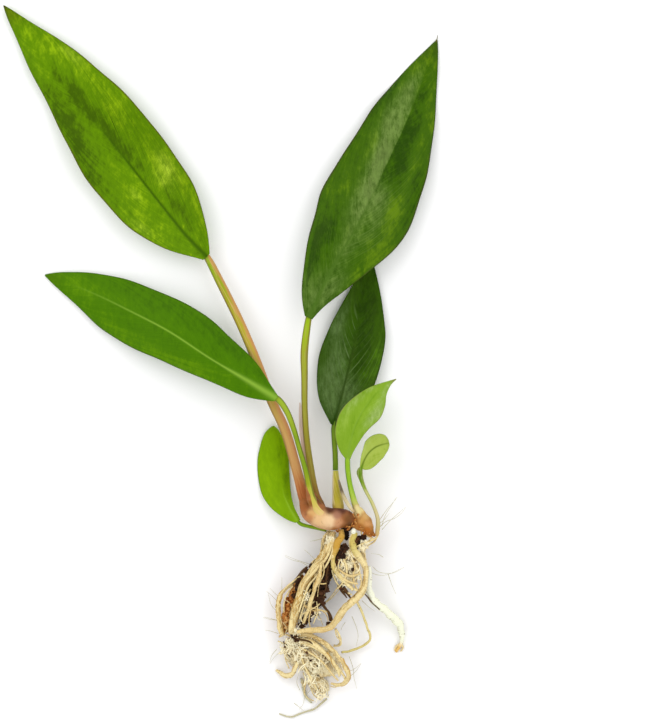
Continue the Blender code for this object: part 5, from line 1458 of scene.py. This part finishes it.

# %% [markdown]
# ## Felt under the mats
# Below the strands a mat is so dense that it looks like felt, with small dark slits of shade between its
# fibres. Modelling each hidden fibre would cost a million faces. A rough lump under the strands carries
# the fibres as colour and relief, the slits as painted shade, and only the strands on top are real tubes.

# %% Felt
# x, y, height of the middle, half-width and half-height along each lump
FELT_CORES = named_tables("""
felt_right: 54.2 -88.4 10.2 1.4 2, 53.6 -90.4 10.2 2.3 2.8, 54.2 -93 10 2.3 2.8, 55.2 -95.6 9.6 1.3 2;
felt_lower: 27.4 -119 2.6 3.4 3.4, 32.6 -121.2 3.2 6.6 4.6, 37.6 -124 3.6 8.2 5, 42.6 -127 3.2 7.2 4.6,
47 -130 2.6 4.4 3.4, 49.4 -131.6 2.2 2.2 2.4;
felt_tail: 37.6 -132.4 2.4 2.2 2.4, 40.4 -135.6 2.2 3.2 2.4, 42.8 -138.2 2 2.2 2, 44.2 -140.4 1.6 1 1.5""")


CORE_RINGS = 60
CORE_SIDES = 48


def core_rings(spine, seed, rough):
    """(rings, attributes) of a lump: oval rings along a spine of x, y, z, half-width and half-height.

    Both ends close in a dome, and a random unevenness roughens the rings.
    """
    route = smooth_route(spine, CORE_RINGS)
    share = np.linspace(0, 1, CORE_RINGS)
    closing = np.sqrt(np.clip(1 - (2 * share - 1) ** 6, 0.02, 1))[:, None]
    angle = TURN * np.arange(CORE_SIDES) / CORE_SIDES
    _, left, _ = sides_of(np.column_stack([route[:, :2], np.zeros(CORE_RINGS)]))
    bumps = ripple(seed, share[:, None] * 22, 2 * np.cos(angle), 2 * np.sin(angle))
    bumps = bumps + ripple(seed + 1, share[:, None] * 70, 6 * np.cos(angle), 6 * np.sin(angle))
    size = closing * (1 - rough + rough * bumps / 2)
    rings = route[:, None, :3] + left[:, None, :] * (route[:, 3:4] * size * np.cos(angle))[..., None]
    rings[..., 2] += route[:, 4:5] * size * np.sin(angle)
    rings[..., 2] = np.maximum(rings[..., 2], LOWEST)
    travelled = distance_along(route[:, :3])[:, None]
    skin = np.stack([travelled + 0 * angle, angle * route[:, 3:4], seed + 0 * bumps], -1)
    return rings[None], {"skin": skin[None]}


def felt_finish(name):
    """Cream fibres in two fine noises, painted shade in the slits where both are low, and smooth films of
    tissue.
    """
    material, base = new_finish(name)
    skin = base.attribute("skin", 1)
    place = base.place()
    fibre = skin.stretched((0.5, 2.4, 1)).noise(1.0, 4.0, 0.6)
    cross = skin.stretched((1.8, 0.5, 1)).noise(1.0, 4.0, 0.6)
    cloud = place.noise(260.0, 3.0)
    tone = fibre * 0.8 + cross * 0.6 + cloud * 0.5
    # The lowest stop is painted shade: the dark slits between the fibres.
    stops = table("0.66 100 68 34, 0.75 206 172 114, 0.87 244 224 172, 1.05 255 250 220")
    colour = tone.ramp(*stops)
    film = (place.noise(170.0, 2.0) + (fibre - 0.5) * 0.5).smooth(0.44, 0.58)
    sheer = (cloud + (cross - 0.5) * 0.5).smooth(0.35, 0.65).mix((206, 184, 128), (242, 230, 188))
    colour = (film * 0.85).mix(colour, sheer)
    relief = (fibre * 0.6 + cross * 0.4) * (1.0 - film * 0.6)
    return close_finish(material, base, colour, 0.75, relief, 0.6, 0.15)


felt = felt_finish("felt")
for number, (name, spine) in enumerate(FELT_CORES.items()):
    rings, attributes = core_rings(spine, 500 + number, 0.2)
    add_piece(name, ring_mesh(name, rings, attributes), felt)
print(len(FELT_CORES), "felt cores")

# %% [markdown]
# ## Rootlets that cling
# Hair-thin rootlets run along the thick roots and stick to them. A thick root with nothing on it would
# look like a noodle. Each rootlet follows its root's own route at a little more than the root's radius,
# while the angle at which it sits drifts, so it winds loosely round the root.

# %% Clinging rootlets
# How many rootlets each root carries
ROOTLETS = {
    "root_left_main": 70, "root_left_outer": 12, "root_centre": 4, "root_right_long": 8,
    "root_loop_outer": 8, "root_loop_inner": 6, "root_stub_left": 3, "root_inner_left": 6,
    "root_crown_left": 6, "root_pale_strap": 3, "root_shoot": 3,
}
ROOTLET_RINGS = 36
ROUTE_POINTS = 200


def rootlets(route, count, rng):
    """Routes (count, rings, 4) that wind along a root, from one share of its length to another."""
    step = np.linspace(0, 1, ROOTLET_RINGS)
    start = rng.uniform(0, 0.7, (count, 1))
    share = np.clip(start + rng.uniform(0.15, 0.45, (count, 1)) * step, 0, 1)
    dense = smooth_route(route, ROUTE_POINTS)
    at = np.stack([np.interp(share, np.linspace(0, 1, ROUTE_POINTS), dense[:, k]) for k in range(4)], -1)
    _, left, up = sides_of(at)
    drift = rng.normal(0, 1.0, (count, 1)) * step
    waver = 0.35 * np.sin(TURN * step * rng.uniform(1, 3, (count, 1)) + rng.uniform(0, TURN, (count, 1)))
    angle = rng.uniform(-0.4, np.pi + 0.4, (count, 1)) + drift + waver
    radius = rng.uniform(0.12, 0.28, (count, 1)) * (1.15 - 0.6 * step)
    away = at[..., 3] * 1.02 + radius * 0.5
    outwards = left * np.cos(angle)[..., None] + up * np.sin(angle)[..., None]
    return np.concatenate([at[..., :3] + outwards * away[..., None], radius[..., None]], -1)


rng = np.random.default_rng(12)
clinging = np.concatenate([rootlets(ROOTS[root], count, rng) for root, count in ROOTLETS.items()])
ages = rng.uniform(0, 0.9, len(clinging))
bundle("clinging_rootlets", clinging, (6, 0.1, 0.8, 600), ages, thick_root_finish)
print(len(clinging), "clinging rootlets")

# %% [markdown]
# ## Peat and bark
# Dark peat still clings between the roots, and one old root is covered with flaking bark. Both are
# heaps of small broken lumps on a rough core. A displaced ball would look like dough, and it is the
# separate crumbs with their dark gaps that make it read as soil.

# %% Where the peat lies
# x, y, height of the middle, half-width and half-height along each lump
PEAT_CORES = named_tables("""
soil_core: 50 -79.4 9.4 1.6 2.6, 47.2 -84 7.4 3 4.8, 43.4 -90.3 5.6 4.4 6.2, 40.4 -95.8 5 4.8 6,
38.2 -100.8 4.6 4.6 5.6, 36 -106 4 4.2 5.2, 35 -110.6 3.4 3.4 4.8;
soil_clump_upper: 53.1 -70.4 10.6 0.9 1.4, 53 -73 10.2 1.5 1.8, 53.1 -75.6 9.6 0.9 1.2;
soil_clump_right: 59.4 -74.2 9 0.9 1.2, 58 -76.8 8.2 1.7 2.4, 56.6 -79.6 8 1 1.6""")
# Heaps of crumbs: x, y, height of the middle, reach
PEAT_HEAPS = table("""
53.8 -69.7 12 1.6, 52 -78.6 14.2 1.5, 50.6 -81.6 14 1.5, 49.6 -84.6 13.4 1.2, 44.6 -88 13.2 1.6,
43.4 -91.6 13.2 1.9, 43 -95.4 12.8 1.9, 42 -99.4 12 1.8, 40.4 -102.4 10.6 1.4, 39.4 -105.6 10.4 1.3,
36.6 -108.6 10.4 1.3, 34.2 -111 10 0.9, 42.6 -101.6 10.6 1, 45.6 -110.4 10.6 0.8, 51.4 -94.8 13 0.8,
57.6 -75.6 12.4 1.3, 60.4 -74.2 12 0.9, 46.2 -80.2 13.6 0.7, 55.6 -87.6 14.6 0.5, 38.4 -86.4 12.6 0.7,
36.4 -88.6 12.4 0.8, 33.2 -92.4 10.6 0.9, 32.6 -95.4 9.8 1.1, 31.4 -98.6 9.2 1, 33.6 -97.4 8.8 0.8,
32.2 -116.8 9.6 1, 30.6 -115.6 9.4 0.7, 38.2 -126 8.8 0.35, 28.2 -119.4 7.4 0.4, 36.4 -122.6 9.4 0.3,
41.4 -128.4 8.4 0.3""")
# The old root: x, y, height, half-width and half-height
OLD_ROOT = table("""
34.6 -89.6 6.6 1.2 2.4, 33 -93.2 6.2 1.9 3.2, 31.4 -97.6 5.4 2.3 3.6, 29.4 -102.5 5 2.5 3.8,
28.2 -107.5 4.8 2.3 3.8, 27.8 -111.7 4.6 1.9 3.6, 27.8 -114.6 4 1.3 2.8""")
print(len(PEAT_CORES), "peat cores and", len(PEAT_HEAPS), "heaps of crumbs")

# %% Crumbs
CRUMB_LATITUDES = 4
CRUMB_SIDES = 6
JAGGEDNESS = 0.28


def crumb_rings(centres, sizes, seed):
    """(rings, tint) of broken lumps: balls of few points, jagged, stretched and turned at random.

    A point of a ball is (sin p cos a, sin p sin a, cos p), and its distance from the middle varies.
    """
    rng = np.random.default_rng(seed)
    count = len(centres)
    latitude = np.pi * (1 - np.linspace(0.14, 0.86, CRUMB_LATITUDES))[:, None]
    angle = TURN * np.arange(CRUMB_SIDES)[None, :] / CRUMB_SIDES
    flat = np.sin(latitude)
    ball = np.stack([flat * np.cos(angle), flat * np.sin(angle), np.cos(latitude) + 0 * angle], -1)
    jag = 1 + JAGGEDNESS * rng.normal(size=(count, CRUMB_LATITUDES, CRUMB_SIDES, 1)).clip(-1.6, 1.6)
    stretch = np.asarray(sizes)[:, None, None, None] * rng.uniform(0.5, 1.3, (count, 1, 1, 3))
    turned, _ = np.linalg.qr(rng.normal(size=(count, 3, 3)))
    turned[:, :, 0] *= np.linalg.det(turned)[:, None]
    lumps = np.einsum("nijk,nlk->nijl", ball * jag * stretch, turned) + centres[:, None, None, :]
    lumps[..., 2] = np.maximum(lumps[..., 2], LOWEST)
    return lumps, rng.uniform(0, 1, (count, 1, 1)) + 0 * lumps[..., 0]


def crumb_piece(name, lumps, tint, finish):
    """Lumps as one piece with flat faces, each with its tint."""
    add_piece(name, ring_mesh(name, lumps, {"tint": tint}, False), finish)
    print(name, "has", len(lumps), "lumps")


def crumb_finish(name, stops):
    """A tint for each crumb, mottled by a fine noise and quite rough."""
    material, base = new_finish(name)
    place = base.place()
    grain = place.noise(1400.0, 4.0)
    cloud = place.noise(350.0, 3.0)
    colour = (base.attribute("tint") * 0.6 + grain * 0.5 + cloud * 0.5 - 0.3).ramp(*table(stops))
    return close_finish(material, base, colour, 0.85, grain, 0.3, 0.2)


# %% Make the peat
peat_finish = crumb_finish("peat", "0 24 13 6, 0.4 48 27 13, 0.75 78 46 24, 1 120 78 44")
for number, (node, spine) in enumerate(PEAT_CORES.items()):
    rings, _ = core_rings(spine, 400 + number, 0.2)
    mesh = ring_mesh(node + "_rough", rings, {"tint": 0 * rings[..., 0]})
    add_piece(node + "_rough", mesh, peat_finish, (node,))

# A heap of reach 1 has 30 crumbs, and larger heaps have more and slightly larger ones
rng = np.random.default_rng(7)
centres, sizes = [], []
for x, y, z, reach in PEAT_HEAPS:
    count = int(30 * reach**1.5)
    spread = rng.normal(0, 0.5, (count, 3)).clip(-1.1, 1.1) * reach
    centres.append(np.array([x, y, z]) + spread * (1, 1, 0.6))
    sizes.append(rng.uniform(0.2, 0.62, count) ** 1.6 * 2.2 * reach**0.4)
lumps, tint = crumb_rings(np.concatenate(centres), np.concatenate(sizes), 8)
crumb_piece("peat_crumbs", lumps, tint, peat_finish)

# %% [markdown]
# ## Twigs and fibres in the peat
# Peat is half-rotted moss and wood, so it is stringy. The strands that make the mats make its fibres too,
# with a dark finish, and a few thicker twigs stick out of it.

# %% Twigs and fibres
# Dark twigs: x, y, height, radius
TWIGS = tables("""
42.2 -101.2 10.8 0.5, 44.6 -104.2 10.6 0.5, 46.6 -107.6 10.6 0.55, 47.2 -110.6 10.8 0.5; 43 -102.6 10.4 0.4,
45.4 -105.8 10.4 0.4, 46.2 -109.4 10.4 0.4; 50.6 -93.8 12.8 0.8, 52.4 -96.2 12.6 0.8, 54 -98.4 12 0.5,
55.2 -100.6 11.4 0.3; 49.6 -94.2 12.4 0.5, 51.6 -97.2 12 0.5, 53.2 -99.6 11.6 0.3; 46 -82.4 14.8 0.35,
43 -87 15 0.4, 40.8 -91.4 14.6 0.35, 39.6 -95 14 0.3; 45.6 -85.8 15 0.3, 44.6 -90.4 15 0.35,
44.6 -95 14.2 0.3, 43 -100 13.2 0.3; 56.2 -98.6 12.6 0.25, 60 -97.4 10.4 0.3, 63.6 -101.4 8.6 0.3,
67 -104.6 7.4 0.2; 36.6 -86.6 11.4 0.5, 33.6 -89.6 9.6 0.5, 30.4 -93.6 8.2 0.4; 39.4 -103.6 12 0.3,
37.4 -107.6 11.6 0.35, 35.4 -111 11 0.3; 30.4 -115.2 10.2 0.3, 33.4 -117 10.8 0.45, 37.2 -117.8 11 0.4,
40.4 -119.8 10.4 0.3; 26.6 -117.8 6.4 0.25, 27.6 -121.6 6.2 0.3, 29.6 -124.8 6 0.25""")
PEAT_FIBRES = {
    "guides": tables("""
        46.6 -80, 41 -88, 37 -96, 34.6 -104, 33 -111; 52 -80, 47.4 -88, 44.8 -96, 42.4 -104, 38.6 -111"""),
    "strands": 90, "top": (12.6, 13.2, 12.6, 11.6, 10.4), "radius": 0.26, "spread": (0.12, 0.4),
    "floor": 0.85,
}
fibre_finish = root_finish("peat_fibre_skin", (30, 17, 8), (84, 54, 28), (60, 36, 14), (80, 60, 30))
fibres = strands(PEAT_FIBRES, 240)
bundle("peat_fibres", fibres, (6, 0.12, 1.2, 140), np.zeros(len(fibres)), fibre_finish)
net_piece("peat_twigs", TWIGS, fibre_finish, 8, 40, 0.25, 141, (0.0, 0.5))
print(len(fibres), "fibres and", len(TWIGS), "twigs")

# %% [markdown]
# ## Flaking bark
# The bark of the old root comes off in orange-brown flakes. They are crumbs again, flung close to the
# root's own surface: a random ring and a random point of it, moved a little. Noise over the length tints
# whole groups of flakes alike, because bark ages in patches.

# %% Flaking bark
FLAKES = 900
BARK_STOPS = "0 72 30 10, 0.25 134 72 26, 0.45 190 118 48, 0.7 218 164 92, 1 234 206 150"
bark_finish = crumb_finish("old_bark", BARK_STOPS)
rings, _ = core_rings(OLD_ROOT, 61, 0.4)
mesh = ring_mesh("old_root_bark", rings, {"tint": 0.2 + 0.3 * ripple(62, rings[..., 0], rings[..., 1])})
add_piece("old_root_bark", mesh, bark_finish, ("old_root",))
row = rng.integers(2, rings.shape[1] - 2, FLAKES)
column = rng.integers(-8, rings.shape[2] // 2 + 8, FLAKES)
centres = rings[0, row, column] + rng.normal(0, 0.16, (FLAKES, 3))
lumps, tint = crumb_rings(centres, rng.uniform(0.2, 0.75, FLAKES), 9)
patches = ripple(63, centres[:, 0] / 1.6, centres[:, 1] / 1.6)[:, None, None]
tint = np.clip(tint * 0.6 + 0.2 + 0.35 * patches, 0, 1)
crumb_piece("bark_flakes", lumps, tint, bark_finish)

# %% [markdown]
# ## Torn scales
# The side shoot's old scales have frayed into brown scraps at its fork and tip. They are small, so crumbs
# with the bark's finish, a little darker, stand for them.

# %% Torn scales on the side shoot
# Where the scales stick out: x, y, height, reach and how many
SCALE_HEAPS = [
    (55.4, -65.0, 15.0, 1.2, 34), (56.2, -68.2, 15.0, 1.4, 44), (61.4, -71.4, 13.8, 1.4, 40),
    (63.6, -72.8, 12.6, 1.0, 26), (53.8, -69.8, 14.4, 1.2, 34), (59.0, -69.8, 14.8, 1.2, 22),
    (49.4, -71.0, 13.8, 1.2, 20), (58.0, -64.6, 15.2, 0.9, 10),
]
spots = np.repeat(np.array(SCALE_HEAPS), [heap[4] for heap in SCALE_HEAPS], axis=0)
centres = spots[:, :3] + rng.normal(0, 0.45, (len(spots), 3)).clip(-1, 1) * spots[:, 3:4] * (1, 1, 0.5)
lumps, tint = crumb_rings(centres, rng.uniform(0.15, 0.5, len(spots)), 10)
crumb_piece("torn_scales", lumps, tint * 0.8, bark_finish)

# %% [markdown]
# ## End of the plant
